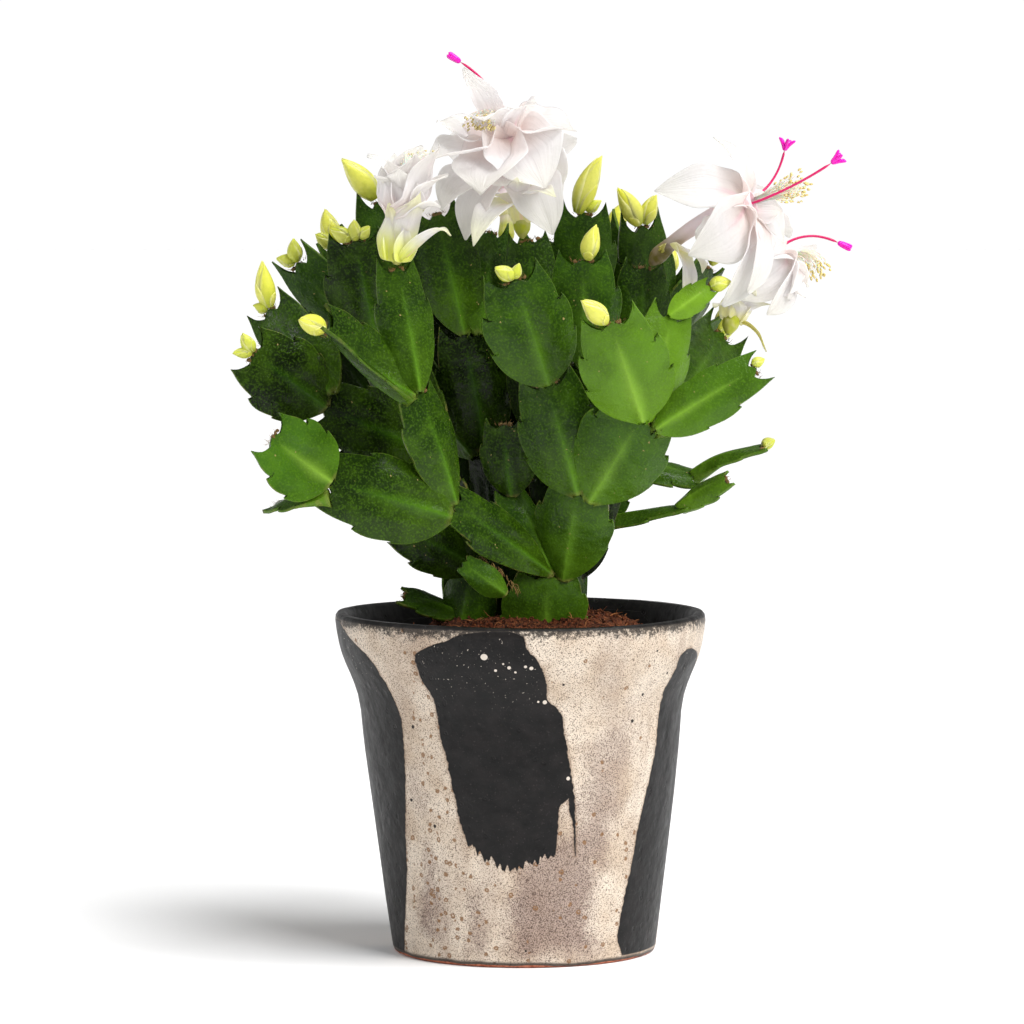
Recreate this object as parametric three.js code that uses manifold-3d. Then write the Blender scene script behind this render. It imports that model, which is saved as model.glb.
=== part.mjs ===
// A Christmas cactus in bloom in a glazed stoneware pot. Millimetres, +Z up, the origin on the
// table at the middle of the pot's foot. The side that faces -Y is the front.
//
// The plant is a set of leafy stems that stand in plain holes in the potting soil. A stem is a
// chain of flat, toothed pads. Each pad grows from the blunt tip of the one before it, and so do
// the buds and the blooms.
import * as THREE from "three";
import { mergeVertices } from "three/addons/utils/BufferGeometryUtils.js";
import Module from "manifold-3d";

const wasm = await Module();
wasm.setup();

// Driving dimensions of the pot.
const POT_HEIGHT = 128;
const RIM_RADIUS = 70;
const FOOT_RADIUS = 49.8;
const POT_SIDES = 34;
const CLEARANCE = 0.35; // between two bodies that touch

// Driving dimensions of the soil.
const SOIL_EDGE = 114; // height of the surface at the wall of the pot
const SOIL_MOUND = 9; // how far the middle stands above that
const SOIL_CENTRE = [6, 0];
const HOLE_FLOOR = 100; // height of the bottom of the holes that the stems stand in
const SOIL_SIDES = 20;
const SOIL_RINGS = [0.78, 0.5, 0.25]; // radii of the top's rings, as shares of the outermost one
const CRUMB_HEIGHT = 0.9;

const STUB_RISE = 4.5; // how far a stem's foot stands above the mound
const STUB_STEPS = 4; // how many straight pieces each half of a foot's oval has

// Driving dimensions of a pad, apart from its length and width.
const RIB_HALF = 1.5; // half of a pad's thickness at the middle of its rib
const MARGIN_HALF = 0.36; // the same at its toothed margin
const TIP_HALF = 0.75; // the same along its blunt tip
const NECK_SINK = 1.6; // how far a second pad reaches into the tip that it grows from
const SIBLING_SHARE = 0.2; // how far from the middle of a tip a second pad grows
const TIP_BULGE = 0.03; // how far the blunt tip bulges, as a share of the length

// Half of a pad's outline, neck to tip: share of the length, and share of half the width.
const PAD_EDGE = [
  [0.22, 0.68],
  [0.4, 0.98],
  [0.44, 0.88],
  [0.7, 0.96],
  [0.73, 0.77],
  [1.08, 0.56],
  [0.98, 0.34],
  [1 + TIP_BULGE, 0.12],
];
const PAD_CENTRE = [0.52, 0];

// Half of a petal's outline, root to tip, in the same shares.
const PETAL_EDGE = [
  [0, 0],
  [0.38, 1.0],
  [0.76, 0.72],
  [1, 0],
];
const PETAL_CENTRE = [0.5, 0];
const PETAL_HALF = 0.33; // half of a petal's thickness
const PETAL_CUP = 0.12; // how far a petal's edges turn up, as a share of its width
const PETAL_ROOT = 1.2; // how far from the tube's line a petal at its foot starts
const PETAL_ROOT_GAIN = 2.2; // how much farther out one at its mouth starts

const MATERIALS = {
  pot: [0xcdb9a0, 0.55],
  soil: [0x4a2c1c, 0.95],
  pad: [0x2c6b23, 0.35],
  petal: [0xf4eff0, 0.5],
  style: [0xd1176f, 0.4],
  stamen: [0xf2e6a8, 0.6],
  bud: [0xd3dd3a, 0.45],
};

// Pads of a stem: name, the pad that it grows from, side of that pad's tip (-1 left, 0 middle,
// 1 right, seen from the front), the place of its own tip, its width, the way it faces, how far
// it bows towards that face, and how much its two halves fold away from it. A stem's foot is an
// oval stub: its place, its half width and half depth, and its turn.
const STEM_PLANS = {
  stem_front: {
    foot: [9, -16, 15, 4.4, 0.1],
    pads: [
      ["r1", "foot", 0, [10, -21, 143], 33, [0.1, -1, 0.1], 1, 0.1],
      ["a1", "r1", -1, [-24, -42, 171], 27, [0.35, -1, 0.3], 1, 0.14],
      ["a2", "a1", 0, [-37, -50, 212], 24, [0.55, -0.85, 0.1], 1, 0.2],
      ["a3", "a2", 0, [-45, -46, 257], 22, [0.3, -1, 0], 1.5, 0.16],
      ["a4", "a2", -1, [-70, -66, 235], 27, [0.45, -0.5, 0.8], -2, -0.35],
      ["a5", "a1", -1, [-69, -54, 180], 32, [0.05, -1, 0.15], 2, 0.1],
      ["a6", "a5", 0, [-90, -59, 196], 30, [0.1, -1, 0.35], -2, -0.12],
      ["a7", "a5", -1, [-89, -44, 171], 19, [0.1, -0.45, 1], 2, 0.1],
      ["h1", "r1", 1, [21, -36, 174], 27, [-0.1, -1, 0.1], 1, 0.2],
      ["e0", "h1", -1, [10, -42, 215], 32, [-0.1, -1, 0.05], 1, 0.16],
      ["e1", "e0", 0, [-2, -54, 253], 34, [0.1, -1, 0.1], 2, 0.12],
      ["g0", "h1", 1, [44, -56, 203], 37, [0.1, -1, 0.1], -1, -0.12],
      ["g1", "g0", -1, [33, -72, 238], 33, [-0.1, -1, 0.1], 2, 0.06],
      ["g2", "g0", 0, [55, -50, 240], 27, [0.35, -0.95, 0.1], 2, 0.1],
      ["g3", "g0", 1, [75, -12, 232], 29, [0.1, -1, 0.1], 2, 0.1],
      ["g4", "g0", 1, [85, -58, 221], 25, [0.05, -1, 0.3], 2, 0.06],
      ["g5", "g2", 1, [69, -48, 251], 11, [0.1, -1, 0.2], 1, 0.05],
      ["h2", "r1", 0, [-2, -16, 173], 22, [0.6, -0.8, 0], 1, 0.1],
      ["h3", "h2", 0, [-6, -22, 199], 22, [-0.3, -0.95, 0], 1, 0.1],
    ],
  },
  stem_left: {
    foot: [-20, -6, 10, 4, -0.5],
    pads: [
      ["r2", "foot", 0, [-17, -9, 145], 22, [-0.3, -0.95, 0], 1, 0.1],
      ["k2", "foot", -1, [-43, -7, 134], 14, [0.1, -0.55, 0.85], 1, 0.1],
      ["k1", "r2", -1, [-43, -22, 160], 22, [0.1, -1, 0.2], 1, 0.1],
      ["n1", "r2", 0, [-33, -13, 187], 27, [-0.8, -0.6, 0.3], 1, 0.1],
      ["a8", "n1", -1, [-72, -26, 206], 30, [0, -1, 0.1], 2, 0.1],
      ["a9", "a8", -1, [-98, -36, 226], 32, [0.1, -1, 0.15], 2, 0.08],
      ["b1", "a8", 1, [-93, -14, 241], 27, [-0.2, -1, 0], 2, 0.1],
      ["n2", "n1", 1, [-53, -9, 229], 28, [-0.5, -0.85, 0.1], 1, 0.1],
      ["b3", "n2", 0, [-61, -18, 267], 31, [0, -1, 0], 2, 0.12],
    ],
  },
  stem_middle: {
    foot: [-4, 2, 7, 3.6, -0.1],
    pads: [
      ["r3", "foot", 0, [-5, 1, 147], 19, [0, -1, 0], 1, 0.1],
      ["c0", "r3", 0, [-13, 0, 188], 25, [-0.7, -0.7, 0.1], 1, 0.1],
      ["c2", "c0", 0, [-21, -8, 232], 28, [0.1, -1, 0], 1, 0.12],
      ["c1", "c2", -1, [-31, -12, 277], 25, [0.15, -1, 0], 1, 0.16],
      ["c3", "c2", 1, [-11, 4, 270], 24, [0.4, -0.95, 0], 1, 0.1],
      ["b0", "c0", -1, [-44, 8, 222], 27, [-0.85, -0.5, 0.4], 1, 0.1],
      ["b4", "b0", 1, [-53, 12, 281], 26, [0.2, -1, 0], 1, 0.1],
      ["b2", "b0", -1, [-83, 5, 258], 25, [-0.6, -0.75, 0.3], 1, 0.1],
    ],
  },
  stem_right: {
    foot: [17, 3, 7, 3.6, 0.3],
    pads: [
      ["r4", "foot", 0, [18, 1, 148], 19, [0.2, -1, 0], 1, 0.1],
      ["d0", "r4", -1, [11, -3, 190], 24, [0.5, -0.85, 0], 1, 0.1],
      ["d2", "d0", 0, [7, -10, 230], 28, [-0.1, -1, 0], 1, 0.1],
      ["d1", "d2", 0, [3, -9, 267], 23, [0, -1, 0.1], 1, 0.1],
      ["f0", "r4", 1, [29, -18, 186], 24, [0.1, -1, 0], 1, 0.1],
      ["f2", "f0", -1, [24, -30, 222], 27, [0, -1, 0.1], 1, 0.1],
      ["f1", "f2", 0, [23, -38, 260], 29, [0, -1, 0.15], 1, 0.1],
      ["m2", "f0", 1, [43, -14, 226], 24, [0.1, -1, 0], 1, 0.1],
      ["l2", "m2", 0, [46, -16, 257], 24, [0.2, -1, 0], 1, 0.1],
    ],
  },
  stem_right_back: {
    foot: [19, 15, 6, 3.6, 0.5],
    pads: [
      ["r5", "foot", 0, [20, 13, 155], 18, [0.3, -1, 0], 1, 0.1],
      ["m0", "r5", -1, [20, 9, 194], 25, [0.8, -0.6, 0], 1, 0.1],
      ["m3", "m0", 0, [22, 8, 236], 26, [0.5, -0.85, 0], 1, 0.1],
      ["m1", "m3", 0, [24, 2, 277], 27, [0, -1, 0], 1, 0.14],
      ["i1", "r5", 1, [60, 1, 167], 20, [0, -0.25, 1], 2, 0.1],
      ["i2", "i1", 0, [77, -4, 178], 18, [0.15, -0.75, 0.8], 1, 0.2],
      ["j0", "r5", 0, [40, 20, 180], 20, [0.2, -0.8, 0.6], 1, 0.1],
      ["j1", "j0", 1, [66, 14, 178], 18, [0, -0.4, 1], 1, 0.1],
      ["j2", "j1", 0, [91, 8, 189], 22, [0.1, -0.3, 1], 2, 0.1],
      ["l3", "j0", 0, [50, 18, 226], 26, [0.85, -0.5, 0.1], 1, 0.1],
      ["l1", "l3", 0, [46, 9, 272], 25, [0.3, -1, 0], 1, 0.14],
      ["l4", "l3", 1, [72, 26, 256], 25, [0.85, -0.3, 0.4], 1, 0.1],
    ],
  },
};

// The stems of the far side follow one rule, because each spreads as a fan from its own foot.
// A row holds a pad's name, the pad that it grows from, the side of its tip, its bearing from
// the fan's middle in degrees, its distance from the pot's axis, its height and its width.
const FAR_FOOT_BEARINGS = [54, 84, 114, 145];
const FAR_FOOT_RADIUS = 29;
const FAR_BEARINGS = [50, 82, 114, 147];
const FAR_FAN = [
  ["p0", "foot", 0, 0, 32, 147, 12],
  ["p1", "p0", 0, 0, 47, 186, 21],
  ["p2", "p1", -1, -9, 70, 209, 27],
  ["p3", "p1", 1, 6, 54, 227, 25],
  ["p4", "p2", -1, -14, 93, 232, 27],
  ["p5", "p2", 1, -3, 80, 251, 26],
  ["p6", "p3", 1, 13, 73, 264, 27],
  ["p7", "p3", -1, 2, 52, 269, 26],
];
const FAR_JITTER = 4; // the most that a seeded draw moves a tip, either way
const FAR_SEED = 11;

// Buds: the pad that they grow on, then a row for each bud with its place along the tip, how far
// it leans to the right and towards the face, its length and its greatest radius.
const BUD_PLANS = {
  buds_a9: ["a9", [[-0.7, -0.5, 0.1, 7.5, 2], [0.9, 0.2, 0.2, 8.5, 2.7]]],
  bud_a4: ["a4", [[0, -0.5, 0.1, 15, 3.9]]],
  buds_b1: ["b1", [[0.8, 0.45, 0.1, 18, 3.9], [-0.8, -0.4, 0.2, 6, 2]]],
  buds_b2: ["b2", [[0.6, 0.6, 0.1, 9.5, 3], [-0.6, -0.6, 0, 7.5, 2.6]]],
  buds_b3: ["b3", [[-2.4, -0.8, 0.2, 9, 3], [0, 0, 0, 8, 2.8], [2.4, 0.8, 0.2, 6, 2.2]]],
  bud_b4: ["b4", [[-1.5, -0.5, 0.1, 20, 4.8]]],
  buds_e1: ["e1", [[-0.6, -0.6, 0.3, 9, 2.9], [0.5, 0.6, 0, 6, 2.1]]],
  bud_f1: ["f1", [[2, 0.1, 0.1, 14, 3.6]]],
  bud_g1: ["g1", [[-2, -0.3, 0.2, 14, 3.8]]],
  buds_m1: ["m1", [[-1.2, 0.2, 0.1, 25, 5.6], [1.2, 1, 0.1, 7, 2.2]]],
  buds_l1: ["l1", [[-1.4, -0.3, 0, 17, 4.1], [1.3, 0.4, 0, 12, 3.4]]],
  bud_g5: ["g5", [[0, 0.3, 0, 8, 3]]],
  bud_g4: ["g4", [[-2, 0, 0, 5, 2]]],
  bud_j2: ["j2", [[-2, 0, 0.1, 6, 2.3]]],
};
// Which pads of each far stem carry buds, and their rows.
const FAR_BUDS = [
  ["p4", [[-1.4, -0.4, 0.1, 8, 2.8], [1.6, 0.3, 0.2, 13, 3.6]]],
  ["p5", [[0, 0, 0.1, 11, 3.2]]],
  ["p6", [[-1.6, -0.3, 0.1, 15, 3.9], [1.6, 0.4, 0, 9, 3]]],
];
const FAR_BUDS_LEFT_OUT = ["far_2_p6", "far_3_p4"]; // these carry blooms

// Petals in tiers: where a tier leaves the tube as a share of its length, how many petals, their
// length, their width, and their angle to the tube at their root and at their tip, in degrees.
const OPEN = [
  [0.36, 3, 19, 10, 35, 110],
  [0.66, 3, 29, 16, 36, 130],
  [0.95, 5, 29, 17, 50, 146],
];
const OPENING = [
  [0.3, 3, 20, 10, 16, 80],
  [0.62, 5, 27, 13, 8, 62],
];

// Blooms: the pad and the place along its tip, the way the bloom leaves the pad, the way its
// mouth faces, its length along the tube, the way its stamens hang, the way its style leans and
// the style's length, the turn of its petals in degrees, and its petals.
const BLOOM_PLANS = {
  bloom_a: {
    spot: ["a3", 0], leaving: [0.1, 0, 1], facing: [0.1, -0.3, 1], length: 30,
    hanging: [0.85, -0.3, 0.5], leaning: [0.7, 0, 0.7], styleLength: 12, turn: 20, tiers: OPENING,
  },
  bloom_b: {
    spot: ["d1", -2], leaving: [0, -0.3, 1], facing: [-0.4, -1, 0.7], length: 44,
    hanging: [-0.5, -1, -0.4], leaning: [-0.7, 0, 1], styleLength: 38, turn: 35, tiers: OPEN,
  },
  bloom_c: {
    spot: ["l2", 2], leaving: [0.6, -0.4, 0.7], facing: [0.95, -0.5, 0.25], length: 49,
    hanging: [1, -0.2, 0.4], leaning: [0.9, 0, 0.6], styleLength: 32, turn: 10, tiers: OPEN,
  },
  bloom_d: {
    spot: ["g3", 2], leaving: [0.2, 0.3, 1], facing: [0.8, 0.35, 0.5], length: 40,
    hanging: [0.3, -0.3, -1], leaning: [1, -0.1, -0.5], styleLength: 25, turn: 50, tiers: OPEN,
  },
  bloom_e: {
    spot: ["l4", 0], leaving: [0.3, 0.3, 1], facing: [0.8, 0.7, 0.4], length: 38,
    hanging: [0.6, 0.6, 0], leaning: [0.2, 0, 1], styleLength: 21, turn: 0, tiers: OPEN,
  },
  bloom_f: {
    spot: ["far_2_p6", 0], leaving: [0, 0.2, 1], facing: [0.1, 0.8, 0.7], length: 38,
    hanging: [0.2, 0.8, -0.5], leaning: [-0.2, 0.5, 0.8], styleLength: 26, turn: 25, tiers: OPEN,
  },
  bloom_g: {
    spot: ["far_3_p4", 0], leaving: [-0.4, 0.5, 0.9], facing: [-0.7, 0.8, 0.3], length: 36,
    hanging: [-0.3, 0.4, -0.8], leaning: [-0.7, 0.5, 0.3], styleLength: 24, turn: 16, tiers: OPEN,
  },
};
const TUBE_STEPS = 12; // how many straight pieces a tube's bent line has
const STYLE_RADIUS = 0.6;
const STYLE_SHIFT = 2.2; // how far the style stands from the middle of the mouth
const COLUMN_RADIUS = 1.7; // the short column that the stamens share
const COLUMN_LENGTH = 2;
const COLUMN_SHIFT = 2.4; // how far it stands from the middle of the mouth, on the other side
const STAMEN_COUNT = 4;
const STAMEN_LENGTH = 17;
const STAMEN_RADIUS = 0.4;
const STAMEN_SPREAD = 0.9; // how far apart the outer stamens start, either way
const STAMEN_FAN = 0.4; // how far they lean apart

// Shapes

function solidOf(geometry) {
  const bare = geometry.clone();
  bare.deleteAttribute("normal");
  bare.deleteAttribute("uv");
  const merged = mergeVertices(bare, 1e-4);
  const vertProperties = new Float32Array(merged.attributes.position.array);
  const triVerts = new Uint32Array(merged.index.array);
  return new wasm.Manifold(new wasm.Mesh({ numProp: 3, vertProperties, triVerts }));
}

function solidFrom({ points, faces }) {
  return solidOf(new THREE.BufferGeometry().setFromPoints(points).setIndex(faces.flat()));
}

function geometryOf(solid) {
  const mesh = solid.getMesh();
  return new THREE.BufferGeometry()
    .setAttribute("position", new THREE.BufferAttribute(mesh.vertProperties, 3))
    .setIndex(new THREE.BufferAttribute(mesh.triVerts, 1));
}

function joined(solids) {
  return solids.reduce((whole, next) => whole.add(next));
}

// Adds a thin blade to a mesh. Each face is a fan round the blade's centre, and both are split
// into the same triangles. `at` gives a point on the middle surface and the way out of the front
// face, and `half` is half the thickness there. `seat` holds the four corners of a strip of
// another blade's margin that this one grows on: front right, front left, back left, back right.
// The strips of this blade's own margin come back in the same order, for the next one.
function addBlade(mesh, edge, centre, at, half, seat) {
  const left = edge.filter(([, h]) => h > 0).map(([s, h]) => [s, -h]);
  const ring = [...edge, ...left.reverse()];
  const [front, back] = [1, -1].map((face) => {
    const ids = [...ring, centre].map(([s, h]) => {
      const { point, out } = at(s, h);
      return mesh.points.push(point.clone().addScaledVector(out, face * half(s, h))) - 1;
    });
    return seat ? [seat[face > 0 ? 0 : 3], ...ids, seat[face > 0 ? 1 : 2]] : ids;
  });
  const middle = ring.length + (seat ? 1 : 0);
  const [frontMiddle] = front.splice(middle, 1);
  const [backMiddle] = back.splice(middle, 1);
  const strips = front.map((_, k) => {
    const next = (k + 1) % front.length;
    mesh.faces.push([front[k], front[next], frontMiddle], [back[next], back[k], backMiddle]);
    return [front[k], front[next], back[next], back[k]];
  });
  if (seat) strips.pop();
  return strips;
}

function closeStrips(mesh, strips) {
  for (const [a, b, c, d] of strips) mesh.faces.push([b, a, d], [b, d, c]);
}

// A solid round a bent line: `rings` holds a centre and a radius for each ring. The two ends are
// closed, and a last radius of 0 makes a point.
function spindle(rings, sides) {
  const points = [];
  const index = [];
  const toward = new THREE.Vector3();
  const first = rings[1][0].clone().sub(rings[0][0]).normalize();
  const across = new THREE.Vector3(0.31, 0.87, -0.38).cross(first).normalize();
  rings.forEach(([centre, radius], k) => {
    const before = rings[Math.max(k - 1, 0)][0];
    const after = rings[Math.min(k + 1, rings.length - 1)][0];
    toward.subVectors(after, before).normalize();
    across.addScaledVector(toward, -across.dot(toward)).normalize();
    const up = toward.clone().cross(across);
    for (let i = 0; i < sides; i += 1) {
      const turn = (2 * Math.PI * i) / sides;
      const spot = centre.clone().addScaledVector(across, radius * Math.cos(turn));
      points.push(spot.addScaledVector(up, radius * Math.sin(turn)));
    }
  });
  const ends = [rings[0][0], rings.at(-1)[0]].map((p) => points.push(p.clone()) - 1);
  for (let k = 0; k + 1 < rings.length; k += 1) {
    for (let i = 0; i < sides; i += 1) {
      const next = (i + 1) % sides;
      const [a, b] = [k * sides + i, k * sides + next];
      index.push(a, b, b + sides, a, b + sides, a + sides);
    }
  }
  const top = (rings.length - 1) * sides;
  for (let i = 0; i < sides; i += 1) {
    const next = (i + 1) % sides;
    index.push(ends[0], next, i, ends[1], top + i, top + next);
  }
  return solidFrom({ points, faces: index });
}

// Pads and stems

const pads = new Map();

function padFrame(base, tip, face) {
  const along = tip.clone().sub(base);
  const length = along.length();
  along.normalize();
  const out = face.clone().addScaledVector(along, -face.dot(along)).normalize();
  return { base, tip, length, along, out, right: along.clone().cross(out) };
}

// Adds a pad to a mesh, on a strip of the pad before it, or with a pointed neck of its own.
function addPad(mesh, pad, seat) {
  const sink = seat ? 0 : NECK_SINK;
  const reach = pad.length + sink;
  const at = (s, h) => {
    const y = (h * pad.width) / 2;
    const lift = pad.bow * Math.sin(Math.PI * Math.min(s, 1)) - pad.fold * Math.abs(y);
    const point = pad.base.clone().addScaledVector(pad.along, s * reach - sink);
    point.addScaledVector(pad.right, y).addScaledVector(pad.out, lift);
    return { point, out: pad.out };
  };
  const half = (s, h) => {
    if (h === 0) return s > 0 ? RIB_HALF : MARGIN_HALF;
    return Math.abs(h) < 0.5 ? TIP_HALF : MARGIN_HALF;
  };
  const edge = seat ? PAD_EDGE : [[0, 0], ...PAD_EDGE];
  return addBlade(mesh, edge, PAD_CENTRE, at, half, seat);
}

// The strip of a blunt tip that a pad grows on, turned so that the two faces look the same way.
function seatOn(parent, face) {
  const [a, b, c, d] = parent.strips[PAD_EDGE.length];
  const right = parent.along.clone().cross(face);
  const turns = [parent.right, parent.out].map((way) => right.dot(way));
  const best = [turns[0], turns[1], -turns[0], -turns[1]];
  const shift = best.indexOf(Math.max(...best));
  return [a, b, c, d, a, b, c].slice(shift, shift + 4);
}

// A stem's foot is a flat oval stub that stands in a hole of the same shape.
function footSolid([x, y, halfWidth, halfDepth, turn], grow, top) {
  const oval = new THREE.Shape();
  oval.absellipse(0, 0, halfWidth + grow, halfDepth + grow, 0, 2 * Math.PI);
  const bottom = HOLE_FLOOR - grow;
  const extruded = { depth: top - bottom, bevelEnabled: false, curveSegments: STUB_STEPS };
  const stub = new THREE.ExtrudeGeometry(oval, extruded);
  return solidOf(stub.rotateZ(turn).translate(x, y, bottom));
}

// The first pad on a tip carries on the mesh of the pad before it. Any other pad on that tip
// starts a mesh of its own, and these are fused at the end.
function growStem({ foot, pads: rows }) {
  const stubTop = SOIL_EDGE + SOIL_MOUND + STUB_RISE;
  const meshes = [];
  for (const [id, from, side, tipPlace, width, facing, bow, fold] of rows) {
    const parent = pads.get(from);
    const tip = new THREE.Vector3(...tipPlace);
    const face = new THREE.Vector3(...facing);
    const carriesOn = parent && !parent.carried;
    let base = new THREE.Vector3(foot[0] + 0.5 * side * foot[2], foot[1], stubTop - 1);
    let mesh = carriesOn ? parent.mesh : { points: [], faces: [] };
    let seat;
    if (carriesOn) {
      seat = seatOn(parent, face);
      base = seat.reduce((sum, k) => sum.add(mesh.points[k]), new THREE.Vector3()).divideScalar(4);
      parent.strips = parent.strips.filter((strip) => !seat.every((k) => strip.includes(k)));
      parent.carried = true;
    } else {
      const aside = side * SIBLING_SHARE;
      if (parent) base = parent.tip.clone().addScaledVector(parent.right, aside * parent.width);
      meshes.push(mesh);
    }
    const pad = { ...padFrame(base, tip, face), width, bow, fold, mesh };
    pad.strips = addPad(mesh, pad, seat);
    pads.set(id, pad);
  }
  for (const [id] of rows) closeStrips(pads.get(id).mesh, pads.get(id).strips);
  return joined([footSolid(foot, 0, stubTop), ...meshes.map(solidFrom)]);
}

// A small seeded generator, the same numbers on every run.
function draws(seed) {
  let state = seed;
  return () => {
    state = (state * 1103515245 + 12345) % 2147483648;
    return state / 2147483648;
  };
}

function farPlan(number) {
  const draw = draws(FAR_SEED * number);
  const bearing = FAR_BEARINGS[number - 1];
  const polar = (degrees, radius, height) => {
    const angle = (degrees * Math.PI) / 180;
    return [radius * Math.cos(angle), radius * Math.sin(angle), height];
  };
  const footBearing = FAR_FOOT_BEARINGS[number - 1];
  const [footX, footY] = polar(footBearing, FAR_FOOT_RADIUS, 0);
  const rows = FAR_FAN.map(([id, from, side, turn, radius, height, width]) => {
    const shift = () => FAR_JITTER * (2 * draw() - 1);
    const way = from === "foot" ? footBearing : bearing + turn;
    const tip = polar(way, radius, height).map((place) => place + (from === "foot" ? 0 : shift()));
    const [faceX, faceY] = polar(way, 1, 0);
    const facing = [faceX, faceY, 0.25 + (radius - 40) / 90];
    const parent = from === "foot" ? "foot" : `far_${number}_${from}`;
    return [`far_${number}_${id}`, parent, side, tip, width, facing, 1.5, 0.1];
  });
  const angle = (footBearing * Math.PI) / 180 + Math.PI / 2;
  return { foot: [footX, footY, 4.6, 3.4, angle], pads: rows };
}

// Buds and blooms

// Where something grows on a pad's tip, at a place along it. It leaves with a flat end of that
// radius, which tilts with it, so it stands off by the clearance and by what the tilt needs.
function tipSpot(pad, place, toward, radius) {
  const [[lowShare, lowPlace], [highShare, highPlace]] = PAD_EDGE.slice(-2);
  const half = Math.max((2 * Math.abs(place)) / pad.width, highPlace);
  const slope = (highShare - lowShare) / (highPlace - lowPlace);
  const share = highShare + slope * (half - highPlace);
  const tilt = toward.clone().cross(pad.along).length();
  return pad.tip
    .clone()
    .addScaledVector(pad.right, place)
    .addScaledVector(pad.along, (share - 1) * pad.length + CLEARANCE + radius * tilt);
}

const BUD_PROFILE = [
  [0, 0.3],
  [0.25, 0.98],
  [0.6, 0.86],
  [1, 0.1],
];
const BUD_SIDES = 5;

function budSolid(root, toward, length, radius) {
  const rings = BUD_PROFILE.map(([s, r]) => [
    root.clone().addScaledVector(toward, s * length),
    r * radius,
  ]);
  return spindle(rings, BUD_SIDES);
}

function budGroup([id, rows]) {
  const pad = pads.get(id);
  const buds = rows.map(([place, sideways, forwards, length, radius]) => {
    const toward = pad.along
      .clone()
      .addScaledVector(pad.right, sideways)
      .addScaledVector(pad.out, forwards)
      .normalize();
    const root = tipSpot(pad, place, toward, BUD_PROFILE[0][1] * radius);
    return budSolid(root, toward, length, radius);
  });
  return joined(buds);
}

const TUBE_PROFILE = [
  [0, 1.3],
  [0.12, 3.2],
  [0.25, 2.7],
  [0.62, 3.9],
  [1, 6.2],
];

// A line that leaves `start` along one direction and turns evenly to another.
function arch(start, toward, lean, length, steps) {
  const points = [start.clone()];
  for (let k = 0; k < steps; k += 1) {
    const way = toward.clone().lerp(lean, (k + 0.5) / steps).normalize();
    points.push(points.at(-1).clone().addScaledVector(way, length / steps));
  }
  return points;
}

// The tube of a bloom: a place along it and the three directions there, and its mouth, which
// faces the way of the tube's last section.
function bloomFrame({ spot: [id, place], leaving, facing, length }) {
  const [first, last] = [leaving, facing].map((way) => new THREE.Vector3(...way).normalize());
  const start = tipSpot(pads.get(id), place, first, TUBE_PROFILE[0][1]);
  const line = arch(start, first, last, length, TUBE_STEPS);
  const at = (share) => {
    const k = Math.min(Math.floor(share * TUBE_STEPS), TUBE_STEPS - 1);
    const point = line[k].clone().lerp(line[k + 1], share * TUBE_STEPS - k);
    const toward = line[k + 1].clone().sub(line[k]).normalize();
    const side = new THREE.Vector3(0, 0, 1).cross(toward).normalize();
    return { point, toward, side, up: toward.clone().cross(side) };
  };
  const { point } = at(1);
  const toward = point.clone().sub(at(TUBE_PROFILE.at(-2)[0]).point).normalize();
  return { at, mouth: { point, toward } };
}

function petalSolid(bloom, [share, , length, width, rootAngle, tipAngle], turn) {
  const { point: middle, toward, side, up } = bloom.at(share);
  const [start, end] = [rootAngle, tipAngle].map((a) => (a * Math.PI) / 180);
  const bend = (end - start) / length;
  const outward = side.clone().multiplyScalar(Math.cos(turn)).addScaledVector(up, Math.sin(turn));
  const across = outward.clone().cross(toward);
  const root = middle.clone().addScaledVector(outward, PETAL_ROOT + PETAL_ROOT_GAIN * share);
  const at = (s, h) => {
    const angle = start + bend * s * length;
    const ahead = (Math.sin(angle) - Math.sin(start)) / bend;
    const away = (Math.cos(start) - Math.cos(angle)) / bend;
    const out = toward.clone().multiplyScalar(Math.sin(angle));
    out.addScaledVector(outward, -Math.cos(angle));
    const point = root.clone().addScaledVector(toward, ahead).addScaledVector(outward, away);
    point.addScaledVector(across, (h * width) / 2);
    return { point: point.addScaledVector(out, PETAL_CUP * width * h * h), out };
  };
  const mesh = { points: [], faces: [] };
  closeStrips(mesh, addBlade(mesh, PETAL_EDGE, PETAL_CENTRE, at, () => PETAL_HALF));
  return solidFrom(mesh);
}

function petalsSolid(bloom, { turn, tiers }) {
  const parts = [spindle(TUBE_PROFILE.map(([s, r]) => [bloom.at(s).point, r]), 6)];
  tiers.forEach((tier, t) => {
    const count = tier[1];
    for (let k = 0; k < count; k += 1) {
      const angle = (turn * Math.PI) / 180 + (2 * Math.PI * (k + t * 0.5)) / count;
      parts.push(petalSolid(bloom, tier, angle));
    }
  });
  return joined(parts);
}

// Where something stands in the mouth of a tube, off the middle along a direction.
function mouthSpot({ mouth }, lean, shift, gap) {
  const spot = mouth.point.clone().addScaledVector(mouth.toward, gap);
  const sideways = lean.clone().addScaledVector(mouth.toward, -lean.dot(mouth.toward));
  return spot.addScaledVector(sideways.normalize(), shift);
}

function lengthened(line, rings) {
  const end = line.at(-1);
  const heading = end.clone().sub(line.at(-2)).normalize();
  return rings.map(([s, r]) => [end.clone().addScaledVector(heading, s), r]);
}

const STIGMA = [[1.2, 1.2], [4.6, 1.1], [6, 0.35]];
const ANTHER = [[0.9, 0.95], [2.2, 0.25]];

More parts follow.
